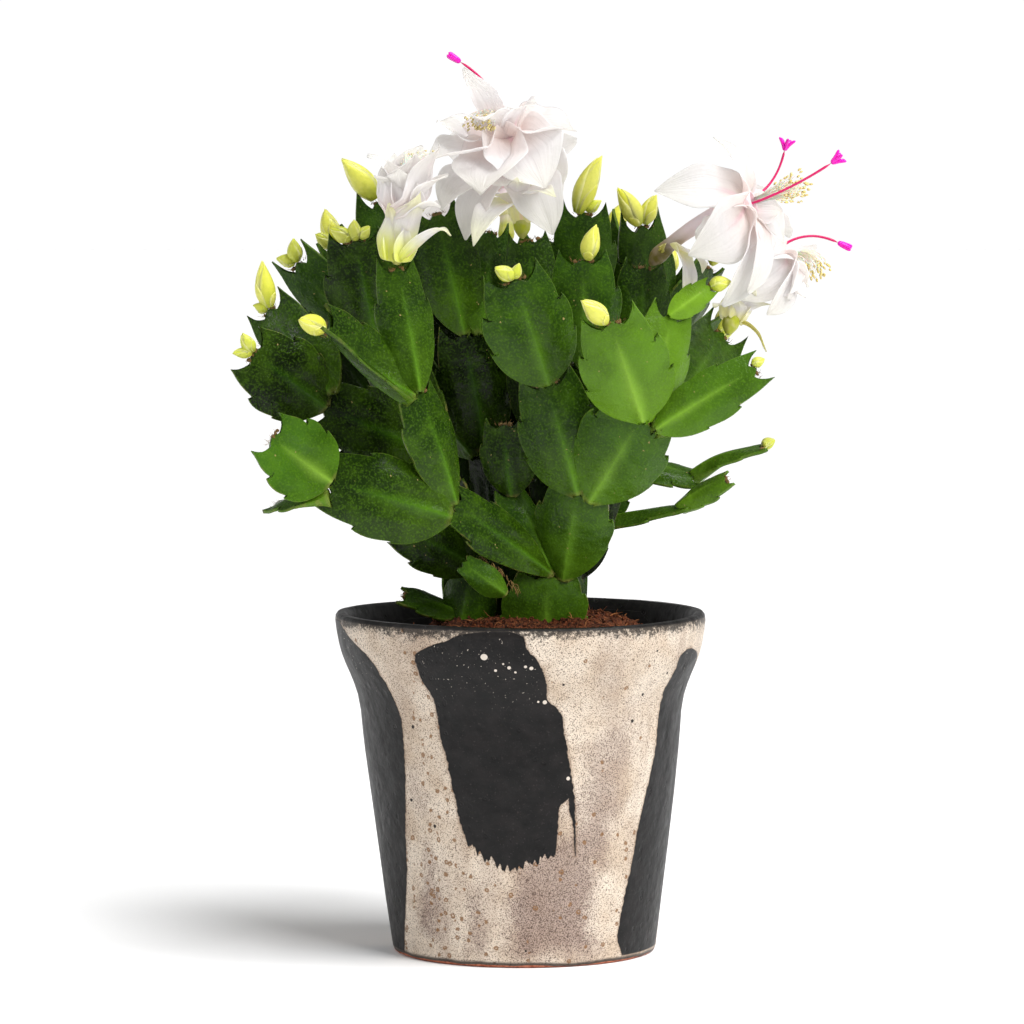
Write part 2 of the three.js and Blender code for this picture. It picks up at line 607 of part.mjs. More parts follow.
function styleSolid(bloom, { hanging, leaning, styleLength }) {
  const [hang, lean] = [hanging, leaning].map((way) => new THREE.Vector3(...way).normalize());
  const gap = CLEARANCE + STYLE_RADIUS / 6; // the first ring is a little tilted
  const start = mouthSpot(bloom, hang, -STYLE_SHIFT, gap);
  const line = arch(start, bloom.mouth.toward, lean, styleLength, 4);
  return spindle([...line.map((p) => [p, STYLE_RADIUS]), ...lengthened(line, STIGMA)], 4);
}

// The stamens rise from the mouth as one short column and then spread.
function stamensSolid(bloom, { hanging }) {
  const lean = new THREE.Vector3(...hanging).normalize();
  const start = mouthSpot(bloom, lean, COLUMN_SHIFT, CLEARANCE);
  const { toward } = bloom.mouth;
  const across = toward.clone().cross(lean).normalize();
  const columnTop = start.clone().addScaledVector(toward, COLUMN_LENGTH);
  const parts = [spindle([[start, COLUMN_RADIUS], [columnTop, COLUMN_RADIUS]], 5)];
  for (let k = 0; k < STAMEN_COUNT; k += 1) {
    const spread = (2 * k) / (STAMEN_COUNT - 1) - 1;
    const root = start.clone().addScaledVector(toward, COLUMN_LENGTH / 2);
    root.addScaledVector(across, STAMEN_SPREAD * spread);
    const way = lean.clone().addScaledVector(across, STAMEN_FAN * spread).normalize();
    const line = arch(root, toward, way, STAMEN_LENGTH + 3 * (k % 2), 2);
    parts.push(spindle([...line.map((p) => [p, STAMEN_RADIUS]), ...lengthened(line, ANTHER)], 3));
  }
  return joined(parts);
}

// Pot and soil

// The wall of the pot, foot to rim outside and rim to floor inside: radius and height.
const POT_PROFILE = [
  [0, 0],
  [FOOT_RADIUS - 1.4, 0],
  [FOOT_RADIUS, 1.8],
  [60.2, 84],
  [61.6, 97],
  [64.2, 104.5],
  [67.6, 112],
  [69.7, 121.5],
  [RIM_RADIUS, 125.4],
  [68.6, POT_HEIGHT],
  [66, POT_HEIGHT],
  [64.4, 124.6],
  [62.4, 112.5],
  [56.4, 96],
  [45, 10],
  [0, 10],
];
const SOIL_ROW = 12; // the row at the edge of the soil

function turned(profile, sides) {
  return new THREE.LatheGeometry(
    profile.map(([radius, height]) => new THREE.Vector2(radius, height)),
    sides,
  ).rotateX(Math.PI / 2);
}

function soilHeight(x, y) {
  const distance = Math.hypot(x - SOIL_CENTRE[0], y - SOIL_CENTRE[1]);
  const mound = SOIL_MOUND * Math.exp(-((distance / 42) ** 4));
  const crumbs = Math.sin(0.31 * x + 1.7 * Math.sin(0.23 * y)) * Math.cos(0.27 * y);
  return SOIL_EDGE + mound + CRUMB_HEIGHT * crumbs;
}

// The soil fills the pot. Its underside is flat, and its top is a ring grid raised by a formula.
function soilSolid(feet) {
  const wall = POT_PROFILE.slice(SOIL_ROW).reverse().map(([radius, height]) => [
    Math.max(0, radius - CLEARANCE),
    height + CLEARANCE,
  ]);
  const topRadius = wall.at(-1)[0] - 0.9;
  const sides = SOIL_SIDES;
  const points = [];
  const index = [];
  const rings = [
    ...wall.slice(1).map(([radius, height]) => [radius, () => height]),
    [topRadius, () => SOIL_EDGE - 1.6],
    ...SOIL_RINGS.map((share) => [topRadius * share, soilHeight]),
  ];
  for (const [radius, height] of rings) {
    for (let i = 0; i < sides; i += 1) {
      const angle = (2 * Math.PI * i) / sides;
      const [x, y] = [radius * Math.cos(angle), radius * Math.sin(angle)];
      points.push(new THREE.Vector3(x, y, height(x, y)));
    }
  }
  const bottom = points.push(new THREE.Vector3(0, 0, wall[0][1])) - 1;
  const top = points.push(new THREE.Vector3(0, 0, soilHeight(0, 0))) - 1;
  const lastRing = (rings.length - 1) * sides;
  for (let i = 0; i < sides; i += 1) {
    const next = (i + 1) % sides;
    index.push(bottom, next, i, top, lastRing + i, lastRing + next);
    for (let k = 0; k + 1 < rings.length; k += 1) {
      const [a, b] = [k * sides + i, k * sides + next];
      index.push(a, b, b + sides, a, b + sides, a + sides);
    }
  }
  const holes = feet.map((foot) => footSolid(foot, CLEARANCE, POT_HEIGHT + 10));
  return holes.reduce((soil, hole) => soil.subtract(hole), solidFrom({ points, faces: index }));
}

// Assembly

const plant = new THREE.Group();

function addNode(name, geometry, look) {
  const [color, roughness] = MATERIALS[look];
  const material = new THREE.MeshStandardMaterial({ color, roughness, metalness: 0 });
  const mesh = new THREE.Mesh(geometry, material);
  mesh.name = name;
  plant.add(mesh);
}

const stems = { ...STEM_PLANS };
FAR_BEARINGS.forEach((_, k) => {
  stems[`stem_far_${k + 1}`] = farPlan(k + 1);
});

addNode("pot", turned(POT_PROFILE, POT_SIDES), "pot");
addNode("soil", geometryOf(soilSolid(Object.values(stems).map(({ foot }) => foot))), "soil");
for (const [name, plan] of Object.entries(stems)) addNode(name, geometryOf(growStem(plan)), "pad");

for (const [name, plan] of Object.entries(BUD_PLANS)) {
  addNode(name, geometryOf(budGroup(plan)), "bud");
}
FAR_BEARINGS.forEach((_, k) => {
  for (const [id, rows] of FAR_BUDS) {
    const pad = `far_${k + 1}_${id}`;
    if (FAR_BUDS_LEFT_OUT.includes(pad)) continue;
    addNode(`buds_${pad}`, geometryOf(budGroup([pad, rows])), "bud");
  }
});

for (const [name, plan] of Object.entries(BLOOM_PLANS)) {
  const bloom = bloomFrame(plan);
  addNode(`${name}_petals`, geometryOf(petalsSolid(bloom, plan)), "petal");
  addNode(`${name}_stamens`, geometryOf(stamensSolid(bloom, plan)), "stamen");
  addNode(`${name}_style`, geometryOf(styleSolid(bloom, plan)), "style");
}

export default plant;
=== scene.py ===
# A Christmas cactus in bloom in a brushed and glazed stoneware pot, seen from the front (-Y).
# The plant's tables are in millimetres, as the pads and petals are measured; meshes are in metres.
import functools
import math
import random

import bpy
import numpy as np
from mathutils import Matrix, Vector, noise


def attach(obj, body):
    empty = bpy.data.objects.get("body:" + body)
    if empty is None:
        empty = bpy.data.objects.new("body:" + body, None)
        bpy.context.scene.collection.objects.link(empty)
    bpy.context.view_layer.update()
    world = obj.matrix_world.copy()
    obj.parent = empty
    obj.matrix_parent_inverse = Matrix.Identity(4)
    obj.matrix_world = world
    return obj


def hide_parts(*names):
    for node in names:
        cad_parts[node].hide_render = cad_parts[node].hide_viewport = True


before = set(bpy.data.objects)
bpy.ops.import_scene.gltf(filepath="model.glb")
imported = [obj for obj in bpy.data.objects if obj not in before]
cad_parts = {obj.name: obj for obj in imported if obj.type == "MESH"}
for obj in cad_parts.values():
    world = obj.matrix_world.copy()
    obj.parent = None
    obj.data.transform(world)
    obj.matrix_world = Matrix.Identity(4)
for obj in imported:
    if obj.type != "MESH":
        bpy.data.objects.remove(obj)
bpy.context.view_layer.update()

MM = 0.001
TURN = 2 * math.pi

# Pot and soil, in millimetres
POT_HEIGHT = 128
SOIL_EDGE = 114
SOIL_MOUND = 9
SOIL_CENTRE = (6, 0)
STUB_RISE = 4.5  # how far a stem's foot stands above the mound
CLEARANCE = 0.35  # between the solids of things that touch

# Radius and height along the pot's wall, from its underside up the outside and down the inside.
POT_WALL = [
    (0, 0), (40, 0), (48.2, 0), (49.3, 0.5), (49.8, 1.8), (50.2, 5), (52.1, 20), (54.6, 40),
    (57.2, 60), (59.2, 76), (60.0, 84), (60.6, 91), (61.7, 97), (63.0, 101), (64.5, 104.8),
    (66.2, 108.6), (67.7, 112.4), (68.8, 116.5), (69.6, 121), (70.0, 124.6), (69.8, 126.6),
    (69.0, 127.7), (67.7, 128), (66.5, 127.7), (65.6, 126.7), (64.9, 125), (64.3, 122),
    (63.2, 117), (62.2, 112), (59.3, 104), (56.6, 96), (51, 60), (45.5, 12), (44, 10.2), (0, 10),
]

# Half of a pad's outline from neck to tip, as shares of its length and of half its width. Rows
# that step back are the notch behind a tooth; the last tooth is the long claw at the tip.
PAD_OUTLINE = [
    (0.00, 0.10), (0.02, 0.20), (0.05, 0.34), (0.085, 0.48), (0.125, 0.61), (0.17, 0.73),
    (0.22, 0.83), (0.27, 0.905), (0.32, 0.955), (0.37, 0.99), (0.41, 1.01), (0.44, 1.015),
    (0.425, 0.955), (0.445, 0.945), (0.485, 0.965), (0.53, 0.985), (0.58, 1.00), (0.63, 1.00),
    (0.68, 0.985), (0.725, 0.955), (0.77, 0.905), (0.735, 0.85), (0.75, 0.815), (0.785, 0.805),
    (0.825, 0.80), (0.87, 0.785), (0.92, 0.76), (0.97, 0.725), (1.02, 0.68), (1.075, 0.635),
    (1.13, 0.595), (1.085, 0.56), (1.04, 0.53), (1.00, 0.495), (0.97, 0.45), (0.955, 0.395),
    (0.955, 0.33), (0.97, 0.26), (0.99, 0.19), (1.01, 0.12),
]
NECK_SINK = 1.6  # how far a pad's neck reaches into the pad that carries it
ROOT_SINK = 12.0  # how far a stem's lowest pad reaches down past its foot
SIBLING_SHARE = 0.2  # how far aside a second pad sits on a tip, as a share of the width
TIP_REACH = 1.03  # where the blunt tip ends, as a share of the length
FACE_END = 0.8  # past this share of the length, the rows are spread on to the blunt tip
MARGIN_HALF = 0.42  # half of the thickness at the rolled margin
USUAL_FORM = (0.15, 1.6, 1.0, 1.0)  # as a row of PAD_FORMS, with the slope as a share of the fold

# Tones of pads that differ from the usual: how light, how yellow and how old. Past 0.7 the third also
# darkens a pad, as painted shade for pads deep inside the plant.
PAD_TONES = {
    "a1": (0.1, 0.1, 0.5), "a2": (0.15, 0.05, 0.2), "a3": (0.2, 0.1, 0.1), "a4": (0.12, 0.1, 0.2),
    "a5": (0.08, 0.05, 0.2), "a6": (0.75, 0.1, 0.4), "a7": (0.4, 0.3, 0.3), "a8": (0.0, 0.0, 0.6),
    "a9": (0.0, 0.0, 0.4), "b1": (0.1, 0.05, 0.3), "b2": (0.35, 0.0, 0.2), "b3": (0.05, 0.0, 0.2),
    "b4": (0.3, 0.0, 0.2), "c0": (0.0, 0.0, 0.8), "c1": (0.15, 0.05, 0.2), "c2": (0.0, 0.0, 0.75),
    "c3": (0.2, 0.0, 0.2), "d0": (0.0, 0.0, 0.9), "d1": (0.15, 0.05, 0.2), "d2": (0.0, 0.0, 0.8),
    "e0": (0.2, 0.05, 0.3), "e1": (0.25, 0.05, 0.1), "f0": (0.0, 0.0, 0.8), "f1": (0.35, 0.05, 0.1),
    "f2": (0.05, 0.0, 0.7), "g0": (0.5, 0.15, 0.3), "g1": (0.78, 0.5, 0.0), "g2": (0.75, 0.7, 0.0),
    "g3": (0.3, 0.1, 0.2), "g4": (0.6, 0.25, 0.1), "g5": (0.9, 1.0, 0.0), "h1": (0.35, 0.2, 0.6),
    "h2": (0.35, 0.05, 0.7), "h3": (0.05, 0.0, 0.5), "i1": (0.35, 0.3, 0.3), "i2": (0.5, 0.6, 0.0),
    "j1": (0.4, 0.2, 0.2), "j2": (0.5, 0.3, 0.1), "k1": (0.05, 0.0, 0.6), "k2": (0.25, 0.1, 0.5),
    "m0": (0.0, 0.0, 0.9), "m3": (0.0, 0.0, 0.4), "n1": (0.0, 0.0, 0.85), "n2": (0.0, 0.0, 0.7),
    "r1": (0.45, 0.35, 0.65), "r2": (0.3, 0.05, 0.65), "r3": (0.05, 0.0, 0.65), "r4": (0.05, 0.0, 0.65),
    "r5": (0.1, 0.0, 0.65), "l1": (0.2, 0.05, 0.2), "l2": (0.2, 0.05, 0.2), "m1": (0.3, 0.05, 0.1),
}

# Forms of pads that differ from the usual: how far they narrow to the neck, how steeply the halves
# fall away from the rib, how strong the teeth are, and the share of the width that is left.
PAD_FORMS = {
    "a1": (0.45, 0.12, 1.0, 0.78), "a2": (0.25, 0.42, 0.7, 0.95), "a3": (0.3, 0.38, 0.9, 1.0),
    "a4": (0.2, -0.75, 1.0, 1.0), "a5": (0.1, 0.15, 0.8, 1.0), "a6": (0.0, -0.2, 1.4, 1.0),
    "e0": (0.1, 0.4, 0.8, 1.0), "e1": (0.1, 0.15, 1.3, 1.0), "g0": (0.15, 0.3, 1.0, 0.98),
    "g1": (0.0, 0.2, 1.2, 1.0), "g2": (0.2, 0.25, 1.2, 0.95), "g3": (0.1, 0.15, 1.2, 1.0),
    "g4": (0.1, 0.2, 0.8, 0.8), "h1": (0.25, 0.5, 0.7, 1.15), "h2": (0.4, 0.5, 0.7, 1.0),
    "i1": (0.2, 0.3, 0.7, 0.7), "i2": (0.2, 0.4, 0.8, 0.62), "j2": (0.2, 0.4, 0.8, 0.5),
    "r1": (0.0, 0.15, 0.5, 1.0), "r2": (0.0, 0.2, 0.4, 1.0), "r4": (0.0, 0.1, 0.5, 0.7),
    "r5": (0.0, 0.1, 0.5, 0.7),
}

# Old pads inside the plant: neck, tip and width.
INNER_PADS = [
    ((-38, 8, 185), (-74, 12, 232), 34), ((-20, 12, 160), (-24, 16, 204), 30),
    ((4, 14, 158), (6, 18, 202), 30), ((-10, 10, 132), (-12, 12, 168), 26),
    ((8, 8, 132), (12, 10, 166), 26), ((30, 16, 170), (36, 20, 212), 30),
    ((-30, 18, 200), (-36, 22, 246), 30), ((-2, 22, 198), (-4, 24, 244), 32),
    ((22, 14, 140), (28, 18, 172), 20),
]

# Pads that carry others and still show the felt of their tip.
FELTED_PADS = ("a1", "a2", "e0", "g0", "r1", "d2", "c0")

# Bare sprigs that stand in the soil by the left wall: x, y and height.
SPRIGS = [(-40, -30, 13), (-34, -33, 11), (-46, -22, 7)]

# How many there are of each small thing
AREOLE_LUMPS = 5
AREOLE_HAIRS = 18
TORN_STRANDS = 46
STIGMA_LOBES = 5
STAMENS = 58
PEAT_FIBRES = 520
PEAT_CRUMBS = 1300

# Pads of the near stems: name, the pad that it grows from, side of that pad's tip, the place of
# its own tip, its width, the way it faces, how far it bows, and how much its halves fold away.
# A foot is the stem's place in the soil: x, y, half its width, half its depth and its turn.
STEMS = {
    "stem_front": ((9, -16, 15, 4.4, 0.1), [
        ("r1", "foot", 0, (10, -21, 143), 33, (0.1, -1, 0.1), 1, 0.1),
        ("a1", "r1", -1, (-24, -42, 171), 27, (0.35, -1, 0.3), 1, 0.14),
        ("a2", "a1", 0, (-37, -50, 212), 24, (0.55, -0.85, 0.1), 1, 0.2),
        ("a3", "a2", 0, (-45, -46, 257), 22, (0.3, -1, 0), 1.5, 0.16),
        ("a4", "a2", -1, (-70, -66, 235), 27, (0.45, -0.5, 0.8), -2, -0.35),
        ("a5", "a1", -1, (-69, -54, 180), 32, (0.05, -1, 0.15), 2, 0.1),
        ("a6", "a5", 0, (-90, -59, 196), 30, (0.1, -1, 0.35), -2, -0.12),
        ("a7", "a5", -1, (-89, -44, 171), 19, (0.1, -0.45, 1), 2, 0.1),
        ("h1", "r1", 1, (21, -36, 174), 27, (-0.1, -1, 0.1), 1, 0.2),
        ("e0", "h1", -1, (10, -42, 215), 32, (-0.1, -1, 0.05), 1, 0.16),
        ("e1", "e0", 0, (-2, -54, 253), 34, (0.1, -1, 0.1), 2, 0.12),
        ("g0", "h1", 1, (44, -56, 203), 37, (0.1, -1, 0.1), -1, -0.12),
        ("g1", "g0", -1, (33, -72, 238), 33, (-0.1, -1, 0.1), 2, 0.06),
        ("g2", "g0", 0, (55, -50, 240), 27, (0.35, -0.95, 0.1), 2, 0.1),
        ("g3", "g0", 1, (75, -12, 232), 29, (0.1, -1, 0.1), 2, 0.1),
        ("g4", "g0", 1, (85, -58, 221), 25, (0.05, -1, 0.3), 2, 0.06),
        ("g5", "g2", 1, (69, -48, 251), 11, (0.1, -1, 0.2), 1, 0.05),
        ("h2", "r1", 0, (-2, -16, 173), 22, (0.6, -0.8, 0), 1, 0.1),
        ("h3", "h2", 0, (-6, -22, 199), 22, (-0.3, -0.95, 0), 1, 0.1),
    ]),
    "stem_left": ((-20, -6, 10, 4, -0.5), [
        ("r2", "foot", 0, (-17, -9, 145), 22, (-0.3, -0.95, 0), 1, 0.1),
        ("k2", "foot", -1, (-43, -7, 134), 14, (0.1, -0.55, 0.85), 1, 0.1),
        ("k1", "r2", -1, (-43, -22, 160), 22, (0.1, -1, 0.2), 1, 0.1),
        ("n1", "r2", 0, (-33, -13, 187), 27, (-0.8, -0.6, 0.3), 1, 0.1),
        ("a8", "n1", -1, (-72, -26, 206), 30, (0, -1, 0.1), 2, 0.1),
        ("a9", "a8", -1, (-98, -36, 226), 32, (0.1, -1, 0.15), 2, 0.08),
        ("b1", "a8", 1, (-93, -14, 241), 27, (-0.2, -1, 0), 2, 0.1),
        ("n2", "n1", 1, (-53, -9, 229), 28, (-0.5, -0.85, 0.1), 1, 0.1),
        ("b3", "n2", 0, (-61, -18, 267), 31, (0, -1, 0), 2, 0.12),
    ]),
    "stem_middle": ((-4, 2, 7, 3.6, -0.1), [
        ("r3", "foot", 0, (-5, 1, 147), 19, (0, -1, 0), 1, 0.1),
        ("c0", "r3", 0, (-13, 0, 188), 25, (-0.7, -0.7, 0.1), 1, 0.1),
        ("c2", "c0", 0, (-21, -8, 232), 28, (0.1, -1, 0), 1, 0.12),
        ("c1", "c2", -1, (-31, -12, 277), 25, (0.15, -1, 0), 1, 0.16),
        ("c3", "c2", 1, (-11, 4, 270), 24, (0.4, -0.95, 0), 1, 0.1),
        ("b0", "c0", -1, (-44, 8, 222), 27, (-0.85, -0.5, 0.4), 1, 0.1),
        ("b4", "b0", 1, (-53, 12, 281), 26, (0.2, -1, 0), 1, 0.1),
        ("b2", "b0", -1, (-83, 5, 258), 25, (-0.6, -0.75, 0.3), 1, 0.1),
    ]),
    "stem_right": ((17, 3, 7, 3.6, 0.3), [
        ("r4", "foot", 0, (18, 1, 148), 19, (0.2, -1, 0), 1, 0.1),
        ("d0", "r4", -1, (11, -3, 190), 24, (0.5, -0.85, 0), 1, 0.1),
        ("d2", "d0", 0, (7, -10, 230), 28, (-0.1, -1, 0), 1, 0.1),
        ("d1", "d2", 0, (3, -9, 267), 23, (0, -1, 0.1), 1, 0.1),
        ("f0", "r4", 1, (29, -18, 186), 24, (0.1, -1, 0), 1, 0.1),
        ("f2", "f0", -1, (24, -30, 222), 27, (0, -1, 0.1), 1, 0.1),
        ("f1", "f2", 0, (23, -38, 260), 29, (0, -1, 0.15), 1, 0.1),
        ("m2", "f0", 1, (43, -14, 226), 24, (0.1, -1, 0), 1, 0.1),
        ("l2", "m2", 0, (46, -16, 257), 24, (0.2, -1, 0), 1, 0.1),
    ]),
    "stem_right_back": ((19, 15, 6, 3.6, 0.5), [
        ("r5", "foot", 0, (20, 13, 155), 18, (0.3, -1, 0), 1, 0.1),
        ("m0", "r5", -1, (20, 9, 194), 25, (0.8, -0.6, 0), 1, 0.1),
        ("m3", "m0", 0, (22, 8, 236), 26, (0.5, -0.85, 0), 1, 0.1),
        ("m1", "m3", 0, (24, 2, 277), 27, (0, -1, 0), 1, 0.14),
        ("i1", "r5", 1, (60, 1, 167), 20, (0, -0.25, 1), 2, 0.1),
        ("i2", "i1", 0, (77, -4, 178), 18, (0.15, -0.75, 0.8), 1, 0.2),
        ("j0", "r5", 0, (40, 20, 180), 20, (0.2, -0.8, 0.6), 1, 0.1),
        ("j1", "j0", 1, (66, 14, 178), 18, (0, -0.4, 1), 1, 0.1),
        ("j2", "j1", 0, (91, 8, 189), 22, (0.1, -0.3, 1), 2, 0.1),
        ("l3", "j0", 0, (50, 18, 226), 26, (0.85, -0.5, 0.1), 1, 0.1),
        ("l1", "l3", 0, (46, 9, 272), 25, (0.3, -1, 0), 1, 0.14),
        ("l4", "l3", 1, (72, 26, 256), 25, (0.85, -0.3, 0.4), 1, 0.1),
    ]),
}

# The stems of the far side spread as fans. A row holds a pad's name, the pad that it grows from,
# the side of its tip, its bearing from the fan's middle, its distance from the pot's axis, its
# height and its width.
FAR_FOOT_BEARINGS = (54, 84, 114, 145)
FAR_FOOT_RADIUS = 29
FAR_BEARINGS = (50, 82, 114, 147)
FAR_FAN = [
    ("p0", "foot", 0, 0, 32, 147, 12),
    ("p1", "p0", 0, 0, 47, 186, 21),
    ("p2", "p1", -1, -9, 70, 209, 27),
    ("p3", "p1", 1, 6, 54, 227, 25),
    ("p4", "p2", -1, -14, 93, 232, 27),
    ("p5", "p2", 1, -3, 80, 251, 26),
    ("p6", "p3", 1, 13, 73, 264, 27),
    ("p7", "p3", -1, 2, 52, 269, 26),
]
FAR_JITTER = 4
FAR_SEED = 11

# Buds: the pad, then for each bud its place along the tip, its lean to the right and towards the
# face, its length and its greatest radius.
BUDS = {
    "buds_a9": ("a9", [(-0.7, -0.5, 0.1, 7.5, 2), (0.9, 0.2, 0.2, 8.5, 2.7)]),
    "bud_a4": ("a4", [(0, -0.5, 0.1, 15, 3.9)]),
    "buds_b1": ("b1", [(0.8, 0.45, 0.1, 18, 3.9), (-0.8, -0.4, 0.2, 6, 2)]),
    "buds_b2": ("b2", [(0.6, 0.6, 0.1, 9.5, 3), (-0.6, -0.6, 0, 7.5, 2.6)]),
    "buds_b3": ("b3", [(-2.4, -0.8, 0.2, 9, 3), (0, 0, 0, 8, 2.8), (2.4, 0.8, 0.2, 6, 2.2)]),
    "bud_b4": ("b4", [(-1.5, -0.5, 0.1, 20, 4.8)]),
    "buds_e1": ("e1", [(-0.6, -0.6, 0.3, 9, 2.9), (0.5, 0.6, 0, 6, 2.1)]),
    "bud_f1": ("f1", [(2, 0.1, 0.1, 14, 3.6)]),
    "bud_g1": ("g1", [(-2, -0.3, 0.2, 14, 3.8)]),
    "buds_m1": ("m1", [(-2.2, 0.2, 0.1, 24, 4.5), (1.2, 1, 0.1, 7, 2.2)]),
    "buds_l1": ("l1", [(-1.4, -0.3, 0, 17, 4.1), (1.3, 0.4, 0, 12, 3.4)]),
    "bud_g5": ("g5", [(0, 0.3, 0, 8, 3)]),
    "bud_g4": ("g4", [(-2, 0, 0, 5, 2)]),
    "bud_j2": ("j2", [(-2, 0, 0.1, 6, 2.3)]),
}
FAR_BUDS = {
    "p4": [(-1.4, -0.4, 0.1, 8, 2.8), (1.6, 0.3, 0.2, 13, 3.6)],
    "p5": [(0, 0, 0.1, 11, 3.2)],
    "p6": [(-1.6, -0.3, 0.1, 15, 3.9), (1.6, 0.4, 0, 9, 3)],
}
FAR_BUDS_LEFT_OUT = ("far_2_p6", "far_3_p4")

# Petals of the blooms that face the front. A row holds how far up the tube the petal springs, the
# place of its tip, its width, its angle to the tube at the root, and how far its tip rolls back.
PETALS = {
    "bloom_a": [
        (0.55, (-56, -48, 299), 18, 10, 0.8), (0.55, (-46, -38, 300), 19, 8, 0.3),
        (0.55, (-36, -34, 303), 19, 10, 0.3), (0.55, (-29, -56, 303), 22, 16, 0.3),
        (0.55, (-26, -52, 292), 20, 20, 0.5), (0.50, (-29, -53, 280), 17, 16, 0.9),
        (0.50, (-44, -62, 294), 18, 6, 0.2), (0.50, (-53, -57, 292), 15, 8, 0.5),
        (0.12, (-36, -61, 286), 16, 12, 0.0), (0.12, (-48, -56, 282), 12, 12, 0.0),
        (0.12, (-25, -58, 270), 8, 50, 1.3), (0.12, (-34, -46, 282), 14, 12, 0.0),
        (0.12, (-45, -42, 283), 14, 12, 0.0), (0.55, (-38, -60, 300), 18, 8, 0.2),
        (0.55, (-48, -58, 297), 19, 6, 0.3),
    ],
    "bloom_b": [
        (0.95, (-21, -42, 331), 13, 5, 0.1), (0.95, (21, -30, 308), 28, 75, 0.1),
        (0.95, (9, -44, 287), 30, 92, 0.4), (0.95, (-31, -22, 312), 26, 80, 0.3),
        (0.95, (-34, -36, 297), 30, 92, 0.4), (0.90, (-14, -50, 285), 29, 95, 0.4),
        (0.90, (14, -8, 284), 24, 90, 0.4), (0.70, (-29, -40, 279), 26, 75, 0.4),
        (0.60, (-6, -44, 288), 24, 70, 0.3), (0.60, (12, -34, 270), 22, 55, 0.4),
        (0.60, (-20, -36, 268), 20, 60, 0.4), (0.34, (-17, -54, 266), 13, 60, 0.4),
        (0.28, (13, -56, 284), 9, 40, 0.1), (0.20, (-1, -55, 291), 10, 30, 0.0),
        (0.20, (5, -32, 290), 10, 10, 0.0), (0.20, (-10, -36, 285), 12, 20, 0.0),
        (0.95, (6, -40, 318), 16, 30, 0.5), (0.95, (-14, -44, 312), 15, 30, 0.6),
    ],
    "bloom_c": [
        (0.97, (71, -36, 306), 18, 60, 0.2), (0.97, (49, -46, 286), 19, 94, 0.1),
        (0.97, (61, -57, 263), 24, 90, 0.1), (0.97, (74, -47, 244), 20, 75, 0.2),
        (0.97, (83, -50, 249), 18, 60, 0.3), (0.97, (98, -20, 267), 17, 50, 0.4),
        (0.97, (97, -28, 279), 16, 40, 0.3), (0.70, (65, -30, 268), 20, 70, 0.4),
        (0.70, (62, -20, 283), 18, 70, 0.3), (0.30, (60, -34, 246), 11, 60, 0.5),
        (0.30, (67, -38, 256), 9, 50, 0.7), (0.16, (54, -24, 267), 3.6, 30, 0.1),
        (0.16, (57, -18, 270), 4.4, 20, 0.1),
    ],
    "bloom_d": [
        (0.97, (108, 0, 250), 15, 55, 0.5), (0.97, (112, 12, 266), 15, 40, 0.3),
        (0.97, (82, -18, 246), 20, 50, 0.4), (0.97, (92, -16, 240), 18, 40, 0.4),
        (0.97, (97, 18, 274), 16, 45, 0.4), (0.97, (100, -10, 246), 15, 45, 0.4),
        (0.97, (88, -14, 262), 16, 30, 0.4), (0.50, (107, -3, 246), 9, 25, 0.4),
        (0.20, (81, -15, 246), 11, 12, 0.0), (0.20, (88, -17, 249), 13, 10, 0.0),
        (0.20, (94, -11, 244), 11, 14, 0.1), (0.20, (92, -11, 226), 4, 60, 0.2),
        (0.20, (88, 4, 248), 13, 12, 0.0), (0.30, (72, -12, 243), 10, 45, 0.3),
    ],
    "bloom_e": [
        (0.95, (86, 52, 293), 14, 50, 0.4), (0.95, (78, 46, 281), 15, 50, 0.4),
        (0.95, (87, 40, 265), 15, 50, 0.4), (0.95, (104, 50, 268), 14, 45, 0.4),
        (0.95, (100, 62, 286), 13, 45, 0.4), (0.66, (77, 34, 267), 12, 35, 0.5),
        (0.66, (86, 46, 292), 12, 35, 0.5),
    ],
}

# Petals of the far blooms, in tiers: where a tier leaves the tube, how many petals, their length
# and width, and their angle to the tube at root and tip.
TIERS = [(0.36, 3, 19, 12, 35, 100), (0.66, 4, 28, 19, 36, 105), (0.95, 5, 29, 21, 45, 120)]

# Blooms: the pad and the place along its tip, the way the bloom leaves it, the way its mouth
# faces, its length, the way its stamens hang, the way its style leans and the style's length, the
# turn of its tiers, and how far the lobes of its stigma spread.
BLOOMS = {
    "bloom_a": (
        "a3", 0, (0.1, 0, 1), (0.1, -0.3, 1), 30,
        (0.2, 1, -0.3), (0.9, 0.15, 0.4), 9, 15, 0.05,
    ),
    "bloom_b": (
        "d1", -2, (0, -0.3, 1), (-0.35, -0.3, 1), 45,
        (-0.6, -0.85, -1.15), (-1, 0.25, 0.6), 29, 35, 0.05,
    ),
    "bloom_c": (
        "l2", 2, (0.6, -0.4, 0.7), (0.95, -0.28, 0.25), 49,
        (1, -0.2, 0.4), (0.9, 0, 0.6), 32, 10, 0.4,
    ),
    "bloom_d": (
        "g3", 2, (0.2, 0.3, 1), (0.8, 0.35, 0.5), 40,
        (0.3, -0.3, -1), (1, -0.1, -0.5), 25, 50, 0.05,
    ),
    "bloom_e": (
        "l4", 0, (0.3, 0.3, 1), (0.8, 0.7, 0.4), 38,
        (0.6, 0.6, 0), (0.2, 0, 1), 21, 0, 0.6,
    ),
    "bloom_f": (
        "far_2_p6", 0, (0, 0.2, 1), (0.1, 0.8, 0.7), 38,
        (0.2, 0.8, -0.5), (-0.3, 1, 0.2), 20, 15, 0.1,
    ),
    "bloom_g": (
        "far_3_p4", 0, (-0.4, 0.5, 0.9), (-0.7, 0.8, 0.3), 36,
        (-0.3, 0.4, -0.8), (-0.7, 0.5, 0.3), 24, 16, 0.4,
    ),
}


# Small tools

